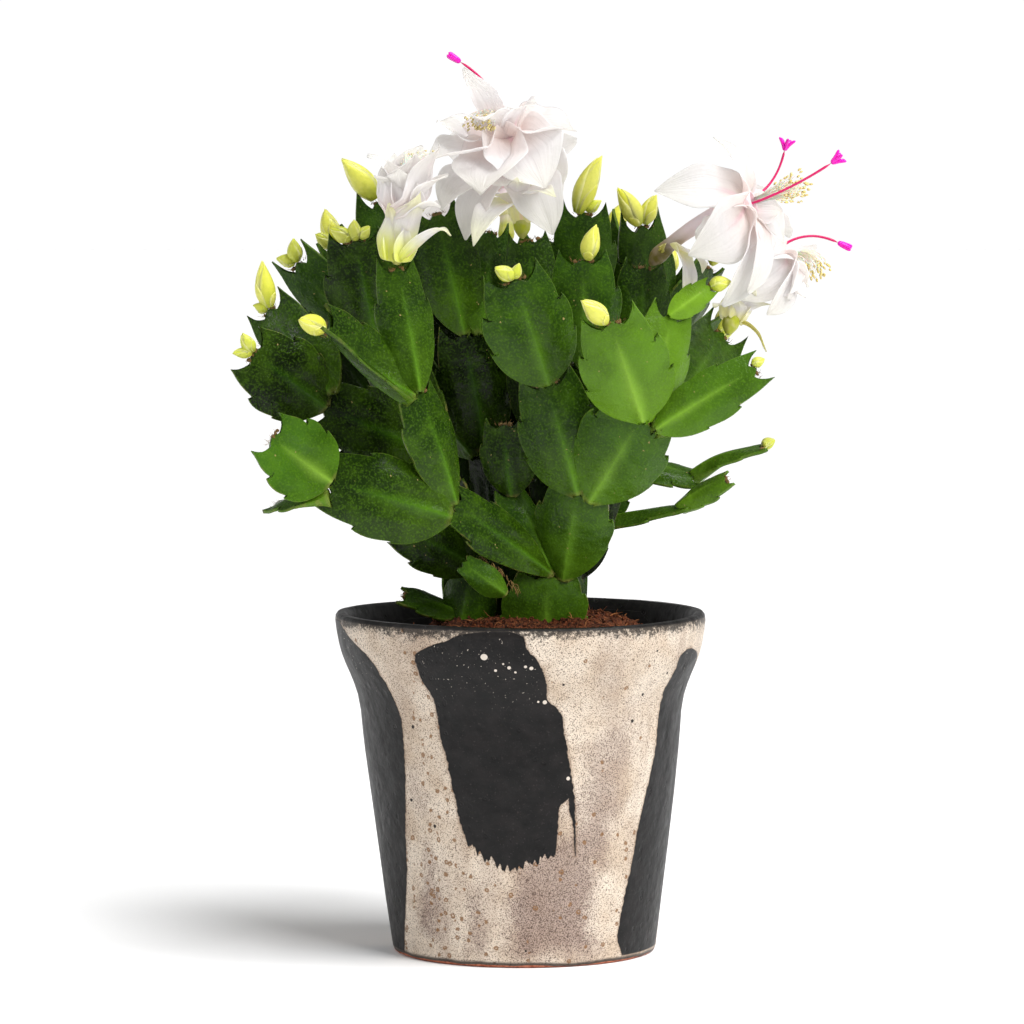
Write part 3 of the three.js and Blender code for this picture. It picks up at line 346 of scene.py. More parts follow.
def deselect():
    """Operators act on all that is selected, so each piece starts from nothing selected."""
    bpy.ops.object.select_all(action="DESELECT")


def activate(*pieces):
    deselect()
    for piece in pieces:
        piece.select_set(True)
    bpy.context.view_layer.objects.active = pieces[0]


def joined(name, pieces):
    activate(*pieces)
    if len(pieces) > 1:
        bpy.ops.object.join()
    piece = bpy.context.view_layer.objects.active
    piece.name = name
    piece.data.name = name
    return piece


def apply_modifier(piece, kind, **settings):
    activate(piece)
    modifier = piece.modifiers.new(kind.lower(), kind)
    for key, value in settings.items():
        setattr(modifier, key, value)
    bpy.ops.object.modifier_apply(modifier=modifier.name)


def smoothed(piece, levels=0):
    if levels:
        apply_modifier(piece, "SUBSURF", levels=levels, render_levels=levels)
    activate(piece)
    bpy.ops.object.shade_smooth()


def dress(piece, material, slot, *nodes):
    piece.data.materials.clear()
    piece.data.materials.append(material)
    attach(piece, "root")
    if nodes:
        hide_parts(*nodes)


def finished(name, pieces, material, slot, *nodes, levels=0):
    """Joins pieces to one, smooths it, gives it its looks, hangs it on the root body and hides the solids
    that it stands for.
    """
    piece = joined(name, pieces)
    smoothed(piece, levels)
    dress(piece, material, slot, *nodes)


def points_of(piece):
    flat = np.empty(len(piece.data.vertices) * 3)
    piece.data.vertices.foreach_get("co", flat)
    return flat.reshape(-1, 3)


def move_points(piece, points):
    piece.data.vertices.foreach_set("co", points.ravel())
    piece.data.update()


def laid_copy(master, lay, tone=(0.5, 0.5, 0.5)):
    """A copy of a master, laid where `lay` puts its points, with a tone for its material."""
    piece = master.copy()
    piece.data = master.data.copy()
    bpy.context.collection.objects.link(piece)
    move_points(piece, lay(*points_of(master).T) * MM)
    layer = piece.data.color_attributes.new("Tone", "FLOAT_COLOR", "POINT")
    layer.data.foreach_set("color", np.tile((*tone, 1.0), len(piece.data.vertices)))
    return piece


def unit(vector):
    vector = np.asarray(vector, float)
    return vector / np.linalg.norm(vector)


def smooth_step(low, high, value):
    share = np.clip((value - low) / (high - low), 0, 1)
    return share * share * (3 - 2 * share)


def reading(table, share):
    """Reads a table whose values are spread evenly from 0 to 1."""
    return np.interp(share, np.linspace(0, 1, len(table)), table)


def draws(seed):
    """The same even draws from 0 to 1 as the ones that place the pads of the far solids."""
    factor, step, span = 1103515245.0, 12345.0, 2147483648.0
    state = float(seed)
    while True:
        state = math.fmod(state * factor + step, span)
        yield state / span


# Masters that are modelled once

def slab_master(across, along):
    """A flat two-faced slab: x runs across from -1 to 1, y along from -1 to 1, z is -1 or 1."""
    deselect()
    bpy.ops.mesh.primitive_grid_add(x_subdivisions=across, y_subdivisions=along, size=2)
    slab = bpy.context.active_object
    apply_modifier(slab, "SOLIDIFY", thickness=2, offset=0)
    return slab


def rod_master(sides, rings):
    """A ball that is drawn out into stalks, tubes and buds: its rings run from pole to pole."""
    deselect()
    bpy.ops.mesh.primitive_uv_sphere_add(segments=sides, ring_count=rings, radius=1)
    return bpy.context.active_object


def crumb_master():
    """A small lump with two of its sides sliced off."""
    deselect()
    bpy.ops.mesh.primitive_ico_sphere_add(subdivisions=1, radius=1)
    crumb = bpy.context.active_object
    bpy.ops.object.mode_set(mode="EDIT")
    for normal in ((1, 0.3, 0.2), (-0.4, 1, -0.3)):
        bpy.ops.mesh.select_all(action="SELECT")
        place = tuple(0.62 * way for way in normal)
        bpy.ops.mesh.bisect(plane_co=place, plane_no=normal, use_fill=True, clear_outer=True)
    bpy.ops.mesh.select_all(action="SELECT")
    bpy.ops.mesh.normals_make_consistent(inside=False)
    bpy.ops.object.mode_set(mode="OBJECT")
    return crumb


# Lines and stalks

def bent_line(start, toward, lean, length, steps):
    """A line that leaves one way and bends over to lean another way at its end."""
    points = [np.asarray(start, float)]
    for k in range(steps):
        share = (k + 0.5) / steps
        way = unit(np.asarray(toward) * (1 - share) + np.asarray(lean) * share)
        points.append(points[-1] + way * length / steps)
    return np.array(points)


def framed(line):
    """A line with two directions square to it at each of its points, without a twist."""
    ways = np.gradient(line, axis=0)
    ways = ways / np.linalg.norm(ways, axis=1)[:, None]
    side = np.cross((0.31, 0.87, -0.38), ways[0])
    sides = []
    for way in ways:
        side = unit(side - way * (side @ way))
        sides.append(side)
    return line, np.array(sides), np.cross(ways, np.array(sides))


def round_line(frames, share, radius, angle):
    """Points round a line, each at a share of the line's length, a radius and an angle."""
    spot = share * (len(frames[0]) - 1)
    steps = np.arange(len(frames[0]))
    centre, side, up = (
        np.stack([np.interp(spot, steps, table[:, k]) for k in range(3)], axis=1) for table in frames
    )
    return centre + side * (radius * np.cos(angle))[:, None] + up * (radius * np.sin(angle))[:, None]


def stalk(line, radii, ridges=None, hollow=None):
    """Draws a rod master out along a line. The radii are spread evenly from its foot to its end.

    Ridges change the radius by share and angle. A hollow stalk is told the share of the line that
    each radius stands at, so that it can turn back down inside itself."""
    frames = framed(line)

    def lay(x, y, z):
        share = np.arccos(np.clip(-z, -1, 1)) / math.pi
        angle = np.arctan2(y, x)
        radius = reading(radii, share)
        if hollow is None:
            radius = radius * np.minimum(1, 12 * np.minimum(share, 1 - share))
            reach = share
        else:
            reach = reading(hollow, share)
        if ridges is not None:
            radius = radius * ridges(share, angle)
        return round_line(frames, reach, radius, angle)

    return lay


# Pads

class Pad:
    """One flat joint of a stem, with the directions that its points are measured in."""

    def __init__(self, row, base, sink, root):
        _, _, _, tip, self.width, facing, self.bow, self.fold = row
        self.base = base
        self.tip = np.array(tip, float)
        self.along = self.tip - base
        self.length = np.linalg.norm(self.along)
        self.along = self.along / self.length
        face = np.array(facing, float)
        self.out = unit(face - self.along * (face @ self.along))
        self.right = np.cross(self.along, self.out)
        self.sink = sink
        self.root = root
        self.carries = False


pads = {}


def plan_stem(foot, rows):
    """Works out where each pad of a stem starts, by the rule that the stem's solid follows."""
    stub_top = SOIL_EDGE + SOIL_MOUND + STUB_RISE
    for row in rows:
        name, parent_name, side = row[:3]
        parent = pads.get(parent_name)
        if parent is None:
            base = np.array((foot[0] + 0.5 * side * foot[2], foot[1], stub_top - 1.0))
            pads[name] = Pad(row, base, NECK_SINK, side == 0)
        elif not parent.carries:
            parent.carries = True
            reach = parent.length + parent.sink
            base = parent.base + parent.along * (TIP_REACH * reach - parent.sink)
            base = base - parent.out * (parent.fold * 0.06 * parent.width)
            pads[name] = Pad(row, base, 0.0, False)
        else:
            base = parent.tip + parent.right * (side * SIBLING_SHARE * parent.width)
            pads[name] = Pad(row, base, NECK_SINK, False)


def polar(degrees, radius, height):
    angle = math.radians(degrees)
    return (radius * math.cos(angle), radius * math.sin(angle), height)


def far_stem(number):
    """The foot and the rows of one stem of the far side, by the rule that its solid follows."""
    draw = draws(FAR_SEED * number)
    foot_bearing = FAR_FOOT_BEARINGS[number - 1]
    rows = []
    for name, parent, side, turn, radius, height, width in FAR_FAN:
        from_foot = parent == "foot"
        way = foot_bearing if from_foot else FAR_BEARINGS[number - 1] + turn
        tip = polar(way, radius, height)
        if not from_foot:
            tip = tuple(place + FAR_JITTER * (2 * next(draw) - 1) for place in tip)
        face_x, face_y, _ = polar(way, 1, 0)
        facing = (face_x, face_y, 0.25 + (radius - 40) / 90)
        parent_name = "foot" if from_foot else f"far_{number}_{parent}"
        rows.append((f"far_{number}_{name}", parent_name, side, tip, width, facing, 1.5, 0.1))
    foot_x, foot_y, _ = polar(foot_bearing, FAR_FOOT_RADIUS, 0)
    return (foot_x, foot_y, 4.6, 3.4, math.radians(foot_bearing) + math.pi / 2), rows


# The outline with its teeth, the same with the teeth evened out, and the rows along the rib.
TOOTHED = np.array(PAD_OUTLINE)
ROWS = len(TOOTHED)
EVEN = np.stack([
    np.convolve(np.pad(column, 3, "edge"), np.ones(7) / 7, "valid") for column in TOOTHED.T
], axis=1)
SHOULDER_ROW = int(np.argmax(EVEN[:, 0] > FACE_END))
MIDDLE = np.where(
    np.arange(ROWS) < SHOULDER_ROW,
    EVEN[:, 0],
    FACE_END + (TIP_REACH - FACE_END) * (np.arange(ROWS) - SHOULDER_ROW) / (ROWS - 1 - SHOULDER_ROW),
)


def pad_skin_points(pad, chance, form):
    """Where a pad's skin lies: two gently swollen halves, toothed edges and a rib between them."""
    wedge, fold, tooth, broad = form
    width = broad * pad.width
    teeth = {side: tooth * chance.uniform(0.75, 1.3) for side in (-1, 1)}
    shift = {side: chance.uniform(-0.035, 0.035) for side in (-1, 1)}
    phases = [chance.uniform(0, TURN) for _ in range(4)]
    wave = chance.uniform(0.25, 0.6)
    curl = chance.uniform(-0.6, 1.0)
    slant = chance.uniform(-0.5, 0.5)
    roll = chance.uniform(-0.12, 0.12)
    sink = ROOT_SINK if pad.root else NECK_SINK
    start = pad.base - pad.along * sink
    span = pad.length + sink
    if pad.root or pad.sink == 0:
        span = (pad.length + pad.sink) - (pad.sink - sink) / TIP_REACH

    def lay(x, y, z):
        row = (y + 1) / 2 * (ROWS - 1)
        steps = np.arange(ROWS)
        toothed_s, toothed_h = (np.interp(row, steps, TOOTHED[:, k]) for k in (0, 1))
        even_s, even_h = (np.interp(row, steps, EVEN[:, k]) for k in (0, 1))
        middle = np.interp(row, steps, MIDDLE)
        sharp = np.where(x < 0, teeth[-1], teeth[1])
        moved = np.where(x < 0, shift[-1], shift[1]) * np.sin(math.pi * np.clip(even_s, 0, 1))
        edge_s = even_s + (toothed_s - even_s) * sharp + moved
        narrow = 1 - wedge * (1 - smooth_step(0.0, 0.72, even_s))
        edge_h = (even_h + (toothed_h - even_h) * sharp) * narrow
        even_h = even_h * narrow
        if pad.root:
            # A stem's foot stays broad where it stands in the soil.
            low = 1 - smooth_step(0.1, 0.5, even_s)
            edge_h = edge_h + (np.maximum(edge_h, 0.86) - edge_h) * low
            even_h = even_h + (np.maximum(even_h, 0.86) - even_h) * low
        # s runs along the pad and h across it, as shares of its length and half its width.
        reach = 0.5 - 0.5 * np.cos(math.pi * np.abs(x))
        outer = reach ** 5
        s = middle + (even_s - middle) * reach + (edge_s - even_s) * outer
        h = np.sign(x) * reach * (even_h + (edge_h - even_h) * outer)
        side = h * width / 2
        arc = np.sin(math.pi * np.clip(s, 0, 1))
        lift = pad.bow * arc - fold * (np.sqrt(side * side + 5) - math.sqrt(5))
        lift = lift + 0.06 * width * arc * np.sin(math.pi * np.clip(np.abs(h), 0, 1)) ** 1.6
        lift = lift - roll * side * np.abs(side) / width
        lift = lift + wave * np.sin(5 * s + 1.5 * h + phases[0]) * np.sin(2.2 * h - 2 * s + phases[1])
        lift = lift + 0.35 * h * h * np.sin(11 * s + 3 * np.sign(h) + phases[2]) + curl * h * h * s
        lift = lift + slant * side * (s - 0.2) * 0.2
        rib = np.exp(-((side / (2.4 - 1.4 * np.clip(s, 0, 1))) ** 2)) * (1 - smooth_step(0.1, 1.0, s))
        half = MARGIN_HALF + 1.1 * (1 - h * h) * (1 - 0.55 * np.clip(s, 0, 1)) + 1.7 * rib
        if pad.root:
            half = half + 2.3 * np.exp(-((h / 0.5) ** 2)) * (1 - 0.5 * smooth_step(0.5, 1, s))
        place = start + np.outer(s * span, pad.along) + np.outer(side, pad.right)
        return place + np.outer(lift + z * half, pad.out)

    return lay


def areole(pad, bristle, crumb, chance):
    """The brown cushion in the hollow of a pad's blunt tip, with its short stiff hairs."""
    pieces = []
    for _ in range(AREOLE_LUMPS):
        across = chance.uniform(-0.12, 0.12) * pad.width
        centre = pad.tip + pad.right * across + pad.along * 0.5
        size = [chance.uniform(0.5, 1.1) for _ in range(3)]
        pieces.append(laid_copy(crumb, lump(centre, size, chance), (0.2, 0.5, 0.5)))
    for _ in range(AREOLE_HAIRS):
        share = chance.uniform(-0.3, 0.3)
        root = pad.tip + pad.right * (share * pad.width / 2) + pad.along * (0.3 - share * share)
        lean = pad.right * chance.uniform(-1, 1) + pad.out * chance.uniform(-1, 1)
        toward = unit(pad.along + 1.1 * lean)
        line = bent_line(root, toward, toward + 0.4 * unit(lean), chance.uniform(1.4, 3.2), 3)
        pieces.append(laid_copy(bristle, stalk(line, [0.12, 0.03]), (chance.random(), 0.5, 0.5)))
    return pieces


def lump(centre, size, chance):
    """Swells and dents a crumb to a rough lump of about this size."""
    seed = Vector((chance.uniform(0, 50), 0, 0))

    def lay(x, y, z):
        spots = np.stack([x, y, z], axis=1)
        rough = np.array([1 + 0.5 * noise.noise(Vector(spot) * 1.3 + seed) for spot in spots])
        return centre + spots * np.array(size) * rough[:, None]

    return lay


def build_stems(masters, materials):
    plans = dict(STEMS)
    for number in range(1, len(FAR_BEARINGS) + 1):
        plans[f"stem_far_{number}"] = far_stem(number)
    for stem, (foot, rows) in plans.items():
        plan_stem(foot, rows)
        chance = random.Random(stem)
        slabs, tufts = [], []
        for row in rows:
            pad = pads[row[0]]
            usual = (chance.uniform(0.1, 0.35), chance.uniform(0.0, 0.2), chance.uniform(0.1, 0.5))
            tone = PAD_TONES.get(row[0], usual)
            narrowing, slope, teeth, broad = USUAL_FORM
            form = PAD_FORMS.get(row[0], (narrowing, slope * pad.fold, teeth, broad))
            slabs.append(laid_copy(masters["pad"], pad_skin_points(pad, chance, form), tone))
            if not pad.carries or row[0] in FELTED_PADS:
                tufts += areole(pad, masters["bristle"], masters["crumb"], chance)
        finished(stem + "_pads", slabs, materials["pad"], "pads", stem)
        finished(stem + "_areoles", tufts, materials["areole"], "pads")


def build_inner_pads(masters, material):
    """Old pads deep inside the plant, seen only between the others, and painted near black as shade."""
    chance = random.Random(3)
    form = (0.15, 0.2, 1.0, 1.0)
    slabs = []
    for base, tip, width in INNER_PADS:
        row = ("inner", "foot", 0, tip, width, (0, -1, 0), 1, 0.1)
        pad = Pad(row, np.array(base, float), NECK_SINK, False)
        # The third part of the tone is near 1, so the material paints these pads near black as shade.
        tone = (0.0, 0.0, chance.uniform(0.93, 1.0))
        slabs.append(laid_copy(masters["pad"], pad_skin_points(pad, chance, form), tone))
    finished("inner_pads", slabs, material, "pads")


def build_torn_joint(masters, materials):
    """A dried flap of skin hanging from the front stem's fork, with torn brown fibres behind it."""
    chance = random.Random(8)
    row = ("torn", "r1", -1, (-21, -37, 149), 11, (-0.1, -1, 0.2), 1.5, 0.3)
    stub = Pad(row, np.array((-6.5, -34, 138.0)), 0.0, False)
    skin = pad_skin_points(stub, chance, (0.0, 0.1, -0.4, 1.0))
    flap = laid_copy(masters["pad"], skin, (0.35, 0.15, 0.7))
    finished("dried_flap", [flap], materials["pad"], "pads")
    strands = []
    for _ in range(TORN_STRANDS):
        share = chance.random()
        root = np.array((-16 + 15 * share, -34.0, 150.5 - 12 * share ** 2 + chance.uniform(-0.6, 0.6)))
        toward = unit((chance.uniform(-0.6, 0.6), -0.6, chance.uniform(-1, 0.3)))
        lean = unit((chance.uniform(0, 0.8), chance.uniform(-0.3, 0.2), -1))
        line = bent_line(root, toward, lean, chance.uniform(1.5, 6), 5)
        thick = chance.uniform(0.08, 0.2)
        tone = (chance.random(), 0.5, 0.5)
        strands.append(laid_copy(masters["thread"], stalk(line, [thick, thick, 0.05]), tone))
    finished("torn_fibres", strands, materials["areole"], "pads")


# Buds

# The radius of a bud from foot to tip, and how far a scale wraps it from foot to tip, as shares.
BUD_SWELL = [0.36, 0.62, 0.82, 0.95, 1.0, 0.98, 0.91, 0.8, 0.65, 0.47, 0.27, 0.06]
TEPAL_SPREAD = [0.75, 0.95, 1.0, 1.0, 0.97, 0.9, 0.78, 0.6, 0.35, 0.05]
TEPAL_REACH = (1.0, 0.98, 0.93, 0.55, 0.3)  # how far up the bud each scale ends, innermost first
TEPAL_TURN = 2.3  # from one scale to the next, in radians
YOUNG_LENGTH = 10  # a shorter bud than this is greener


def tip_spot(pad, place, toward, radius):
    """Where a bud or bloom stands on a pad's tip, clear of the tip's edge as its solid is."""
    low_share, low_place, high_place = 0.98, 0.34, 0.12
    half = max(2 * abs(place) / pad.width, high_place)
    share = TIP_REACH + (TIP_REACH - low_share) / (high_place - low_place) * (half - high_place)
    tilt = np.linalg.norm(np.cross(toward, pad.along))
    rise = (share - 1) * pad.length + CLEARANCE + radius * tilt
    return pad.tip + pad.right * place + pad.along * rise


def bud_tepal(line, radius, turn, spread, reach, gap):
    """A scale that wraps part of a bud and lifts a little from the one under it."""
    frames = framed(line)

    def lay(x, y, z):
        share = (y + 1) / 2 * reach
        angle = turn + x * spread * reading(TEPAL_SPREAD, share / reach)
        rise = gap + 0.10 * z - 0.12 * x * x + 0.05 * (share / reach) ** 3
        return round_line(frames, share, radius * reading(BUD_SWELL, share) + rise, angle)

    return lay


def build_buds(masters, material):
    plans = dict(BUDS)
    for number in range(1, len(FAR_BEARINGS) + 1):
        for name, rows in FAR_BUDS.items():
            pad = f"far_{number}_{name}"
            if pad not in FAR_BUDS_LEFT_OUT:
                plans[f"buds_{pad}"] = (pad, rows)
    for node, (pad_name, rows) in plans.items():
        pad = pads[pad_name]
        chance = random.Random(node)
        pieces = []
        for place, sideways, forwards, length, radius in rows:
            toward = unit(pad.along + pad.right * sideways + pad.out * forwards)
            root = tip_spot(pad, place, toward, 0.3 * radius) - toward * 0.5
            lean = toward + pad.right * 0.3 * np.sign(sideways or 1)
            line = bent_line(root, toward, lean, length, 10)
            small = 0.94 * radius
            core = stalk(line, [small * swell for swell in BUD_SWELL])
            young = 1.0 if length < YOUNG_LENGTH else 0.4
            pieces.append(laid_copy(masters["bud"], core, (young, 0.0, chance.random())))
            turn = chance.uniform(0, TURN)
            for k, reach in enumerate(TEPAL_REACH):
                spread = 1.25 if k < 3 else 0.85
                wrap = bud_tepal(line, small, turn + TEPAL_TURN * k, spread, reach, 0.05 + 0.05 * k)
                pieces.append(laid_copy(masters["tepal"], wrap, (young, 0.2 * k, chance.random())))
        finished(node + "_tepals", pieces, material, "buds", node)


# Blooms

# Radius and place along the tube, from the ovary up the outside and down the throat.
TUBE_RADII = [
    0.4, 1.6, 2.9, 3.25, 2.9, 2.6, 2.7, 3.0, 3.4, 3.8, 4.2, 4.4, 4.1, 3.6, 3.0, 2.4, 1.6, 0.3,
]
TUBE_REACH = [
    0, 0.03, 0.08, 0.13, 0.19, 0.25, 0.38, 0.52, 0.66, 0.8, 0.92, 0.985, 0.99, 0.96, 0.85, 0.65,
    0.5, 0.42,
]

# The width from root to tip, as a share, of the petals and of the short lowest ones.
PETAL_OUTLINE = [0.45, 0.62, 0.78, 0.9, 0.98, 1.0, 0.97, 0.89, 0.74, 0.53, 0.28, 0.04]
SEPAL_OUTLINE = [0.75, 0.9, 1.0, 1.0, 0.95, 0.87, 0.77, 0.64, 0.5, 0.35, 0.18, 0.03]
WITHERED_TUBE = "bloom_c"  # the foot of this bloom's tube has gone brown
LOWEST_TIER = 0.25  # petals that spring below this share of the tube have the short outline
STIGMA_LINE = [0.45, 0.7, 0.72, 0.66, 0.45]
STYLE_LINE = [0.45, 0.52, 0.48, 0.46, 0.48, 0.58]


class Bloom:
    """The bent tube of a bloom, and the places and directions along it."""

    def __init__(self, pad_name, place, leaving, facing, length):
        first, last = unit(leaving), unit(facing)
        start = tip_spot(pads[pad_name], place, first, 1.3)
        self.line = bent_line(start, first, last, length, 12)

    def at(self, share):
        steps = len(self.line) - 1
        k = min(int(share * steps), steps - 1)
        point = self.line[k] + (self.line[k + 1] - self.line[k]) * (share * steps - k)
        return point, unit(self.line[k + 1] - self.line[k])

    def mouth(self):
        point = self.line[-1]
        return point, unit(point - self.at(0.62)[0])


def tier_rows(bloom, turn):
    """Spreads the tiers of a far bloom evenly round its tube, as rows of the petal table."""
    rows = []
    for rank, (share, count, length, width, root_angle, tip_angle) in enumerate(TIERS):
        middle, toward = bloom.at(share)
        side = unit(np.cross((0, 0, 1), toward))
        up = np.cross(toward, side)
        for k in range(count):
            angle = math.radians(turn) + TURN * (k + rank * 0.5) / count
            outward = side * math.cos(angle) + up * math.sin(angle)
            slope = math.radians(0.5 * (root_angle + tip_angle))
            tip = middle + (toward * math.cos(slope) + outward * math.sin(slope)) * length
            rows.append((share, tip, width, root_angle, 0.4))
    return rows


def petal(bloom, row, chance):
    """A thin petal on one smooth curve from the tube's wall to its tip, pleated lengthwise."""
    share, tip, width, root_angle, roll = row
    tip = np.asarray(tip, float)
    middle, toward = bloom.at(share)
    reach = tip - middle
    outward = unit(reach - toward * (reach @ toward))
    across = np.cross(outward, toward)
    root = middle + outward * (1.0 + 2.4 * share) - toward * 2.5
    angle = math.radians(root_angle)
    span = np.linalg.norm(tip - root)
    first = root + (toward * math.cos(angle) + outward * math.sin(angle)) * 0.42 * span
    second = tip - unit(unit(tip - first) - toward * roll) * 0.36 * span
    lowest = share < LOWEST_TIER
    outline = SEPAL_OUTLINE if lowest else PETAL_OUTLINE
    # The radius that the petal hugs, and how far up it has come free of the tube.
    hug, freed = (6.0, 0.95) if lowest else (2.5 + 3 * share, 0.35)
    phases = [chance.uniform(0, TURN) for _ in range(4)]
    twist = chance.uniform(-0.25, 0.25)
    pleats = chance.uniform(2.2, 3.4)

    def lay(x, y, z):
        # s runs from the root to the tip of the curve, and t runs back.
        s = (y + 1) / 2
        t = 1 - s
        centre = (
            np.outer(t ** 3, root) + np.outer(3 * t * t * s, first)
            + np.outer(3 * t * s * s, second) + np.outer(s ** 3, tip)
        )
        way = (
            np.outer(3 * t * t, first - root) + np.outer(6 * t * s, second - first)
            + np.outer(3 * s * s, tip - second)
        )
        way = way / np.linalg.norm(way, axis=1)[:, None]
        out = np.cross(across, way)
        turn = twist * s * s
        flat = np.outer(np.cos(turn), across) + out * np.sin(turn)[:, None]
        out = out * np.cos(turn)[:, None] - np.outer(np.sin(turn), across)
        half_width = reading(outline, s) * width / 2
        frill = 1 + 0.07 * np.sin(13 * s + phases[3] + np.sign(x)) * smooth_step(0.2, 0.5, s)
        sideways = x * half_width * frill
        wrap = sideways * sideways / (2 * hug) * (1 - smooth_step(0.05, freed, s))
        cup = 0.11 * width * x * x * np.sin(math.pi * np.clip(s * 1.05, 0, 1))
        open_part = np.sin(math.pi * np.clip(s, 0, 1))
        pleat = 0.3 * np.cos(pleats * math.pi * x + phases[0] + 3 * s) * open_part
        crease = -0.03 * width * np.exp(-((x / 0.14) ** 2)) * open_part
        edge = 0.045 * width * np.sin(6.5 * s + phases[1] + 1.3 * np.sign(x))
        edge = (edge + 0.3 * np.sin(13 * s + phases[2])) * x * x
        lift = wrap + cup + pleat + crease + edge * smooth_step(0.15, 0.6, s)
        lift = lift + z * (0.13 + 0.14 * (1 - s))
        return centre + flat * sideways[:, None] + out * lift[:, None]

    return lay


def build_petals(name, bloom, turn, masters, materials):
    chance = random.Random(name)
    rows = PETALS.get(name) or tier_rows(bloom, turn)
    pieces = []
    for row in rows:
        share = row[0]
        outer = 1.0 if share < 0.2 else 0.7 if share < 0.5 else 0.15
        wilted = 1.0 if row[2] < 5 else 0.0
        tone = (outer, wilted, chance.random())
        pieces.append(laid_copy(masters["petal"], petal(bloom, row, chance), tone))
    finished(name + "_corolla", pieces, materials["petal"], "petals", name + "_petals", levels=1)
    ribs = stalk(bloom.line, TUBE_RADII, lambda share, angle: 1 + 0.03 * np.cos(5 * angle), TUBE_REACH)
    withered = 1.0 if name == WITHERED_TUBE else 0.0
    throat = laid_copy(masters["tube"], ribs, (withered, 0.5, 0.5))
    finished(name + "_tube", [throat], materials["tube"], "petals")


def mouth_spot(bloom, lean, shift, rise):
    """A place in the tube's mouth, moved towards the way that something leans."""
    point, toward = bloom.mouth()
    lean = unit(lean)
    return point + toward * rise + unit(lean - toward * (lean @ toward)) * shift


def build_style(name, bloom, hanging, leaning, length, spread, masters, materials):
    _, toward = bloom.mouth()
    start = mouth_spot(bloom, hanging, -2.2, 0.4)
    line = bent_line(start, toward, unit(leaning), length, 10)
    line = np.vstack([bloom.at(0.7)[0], line])
    rod = laid_copy(masters["stalk"], stalk(line, STYLE_LINE), (0.1, 0.5, 0.5))
    heading = unit(line[-1] - line[-2])
    side = unit(np.cross(heading, (0.2, 0.1, 1)))
    up = np.cross(heading, side)
    lobes = []
    for k in range(STIGMA_LOBES):
        angle = TURN * k / STIGMA_LOBES
        around = side * math.cos(angle) + up * math.sin(angle)
        root = line[-1] - heading * 0.3 + around * 0.35
        lobe = bent_line(root, heading + around * 0.1, heading + around * (spread * 2.2), 5.8, 6)
        lobes.append(laid_copy(masters["stalk"], stalk(lobe, STIGMA_LINE), (0.9, 0.5, 0.5)))
    finished(name + "_pistil", [rod, *lobes], materials["style"], "style", name + "_style")


def build_stamens(name, bloom, hanging, masters, materials):
    chance = random.Random(name + " stamens")
    lean = unit(hanging)
    _, toward = bloom.mouth()
    across = unit(np.cross(toward, lean))
    third = np.cross(lean, across)
    start = mouth_spot(bloom, lean, 2.4, -1.0)
    threads, anthers = [], []
    for _ in range(STAMENS):
        spread = chance.uniform(-1, 1)
        depth = chance.uniform(-1, 1)
        root = start + across * (1.3 * spread) + third * (0.9 * depth)
        way = unit(lean + across * (0.42 * spread) + third * (0.3 * depth))
        line = bent_line(root, toward, way, chance.uniform(9, 21.5), 6)
        threads.append(laid_copy(masters["thread"], stalk(line, [0.16, 0.13, 0.11])))
        heading = unit(line[-1] - line[-2] + across * chance.uniform(-0.8, 0.8))
        head = bent_line(line[-1] - heading * 0.3, heading, heading, chance.uniform(1.3, 1.9), 2)
        tone = (chance.random(), 0.5, 0.5)
        anthers.append(laid_copy(masters["bristle"], stalk(head, [0.36, 0.5, 0.36]), tone))
    finished(name + "_filaments", threads, materials["filament"], "stamens", name + "_stamens")
    finished(name + "_anthers", anthers, materials["anther"], "stamens")


def build_blooms(masters, materials):
    for name, plan in BLOOMS.items():
        pad, place, leaving, facing, length, hanging, leaning, style_length, turn, spread = plan
        bloom = Bloom(pad, place, leaving, facing, length)
        build_petals(name, bloom, turn, masters, materials)
        build_style(name, bloom, hanging, leaning, style_length, spread, masters, materials)
        build_stamens(name, bloom, hanging, masters, materials)


# Pot and soil

POT_LEAN = 1.7  # the foot stands this far to the right of the rim, as on a pot thrown by hand


def build_pot(material):
    """Turned on a wheel: one ring is drawn up the wall, over the rim and down the inside."""
    radius, height = POT_WALL[1]
    deselect()
    bpy.ops.mesh.primitive_circle_add(
        vertices=160, radius=radius * MM, fill_type="NGON", location=(0, 0, height * MM))
    pot = bpy.context.active_object
    bpy.ops.object.mode_set(mode="EDIT")
    bpy.ops.mesh.select_all(action="SELECT")
    for next_radius, next_height in POT_WALL[2:-1]:
        rise = (0, 0, (next_height - height) * MM)
        bpy.ops.mesh.extrude_region_move(TRANSFORM_OT_translate={"value": rise})
        scale = next_radius / radius
        bpy.ops.transform.resize(value=(scale, scale, 1), center_override=(0, 0, next_height * MM))
        radius, height = next_radius, next_height
    bpy.ops.mesh.select_all(action="SELECT")
    bpy.ops.mesh.normals_make_consistent(inside=False)
    bpy.ops.object.mode_set(mode="OBJECT")
    x, y, z = points_of(pot).T
    angle = np.arctan2(y, x)
    # A thrown wall is never quite round, and its rim rises and falls a little.
    wobble = 1 + 0.003 * np.sin(2 * angle + 40 * z) + 0.0015 * np.sin(5 * angle - 90 * z)
    lean = POT_LEAN * MM * (1 - z / (POT_HEIGHT * MM))
    rise = z + 0.5 * MM * np.sin(2 * angle + 0.8) * smooth_step(0.1, 0.128, z)
    move_points(pot, np.stack([x * wobble + lean, y * wobble, np.minimum(rise, POT_HEIGHT * MM)], axis=1))
    pot = joined("thrown_pot", [pot])
    activate(pot)
    bpy.ops.object.shade_smooth_by_angle(angle=math.radians(40))
    dress(pot, material, "pot_glaze", "pot")


BED_RADIUS = 61.6
BED_CELLS = 140
BED_DEPTH = 4
BED_RISE = 13.5  # the root ball stands this much above the soil along the pot's wall


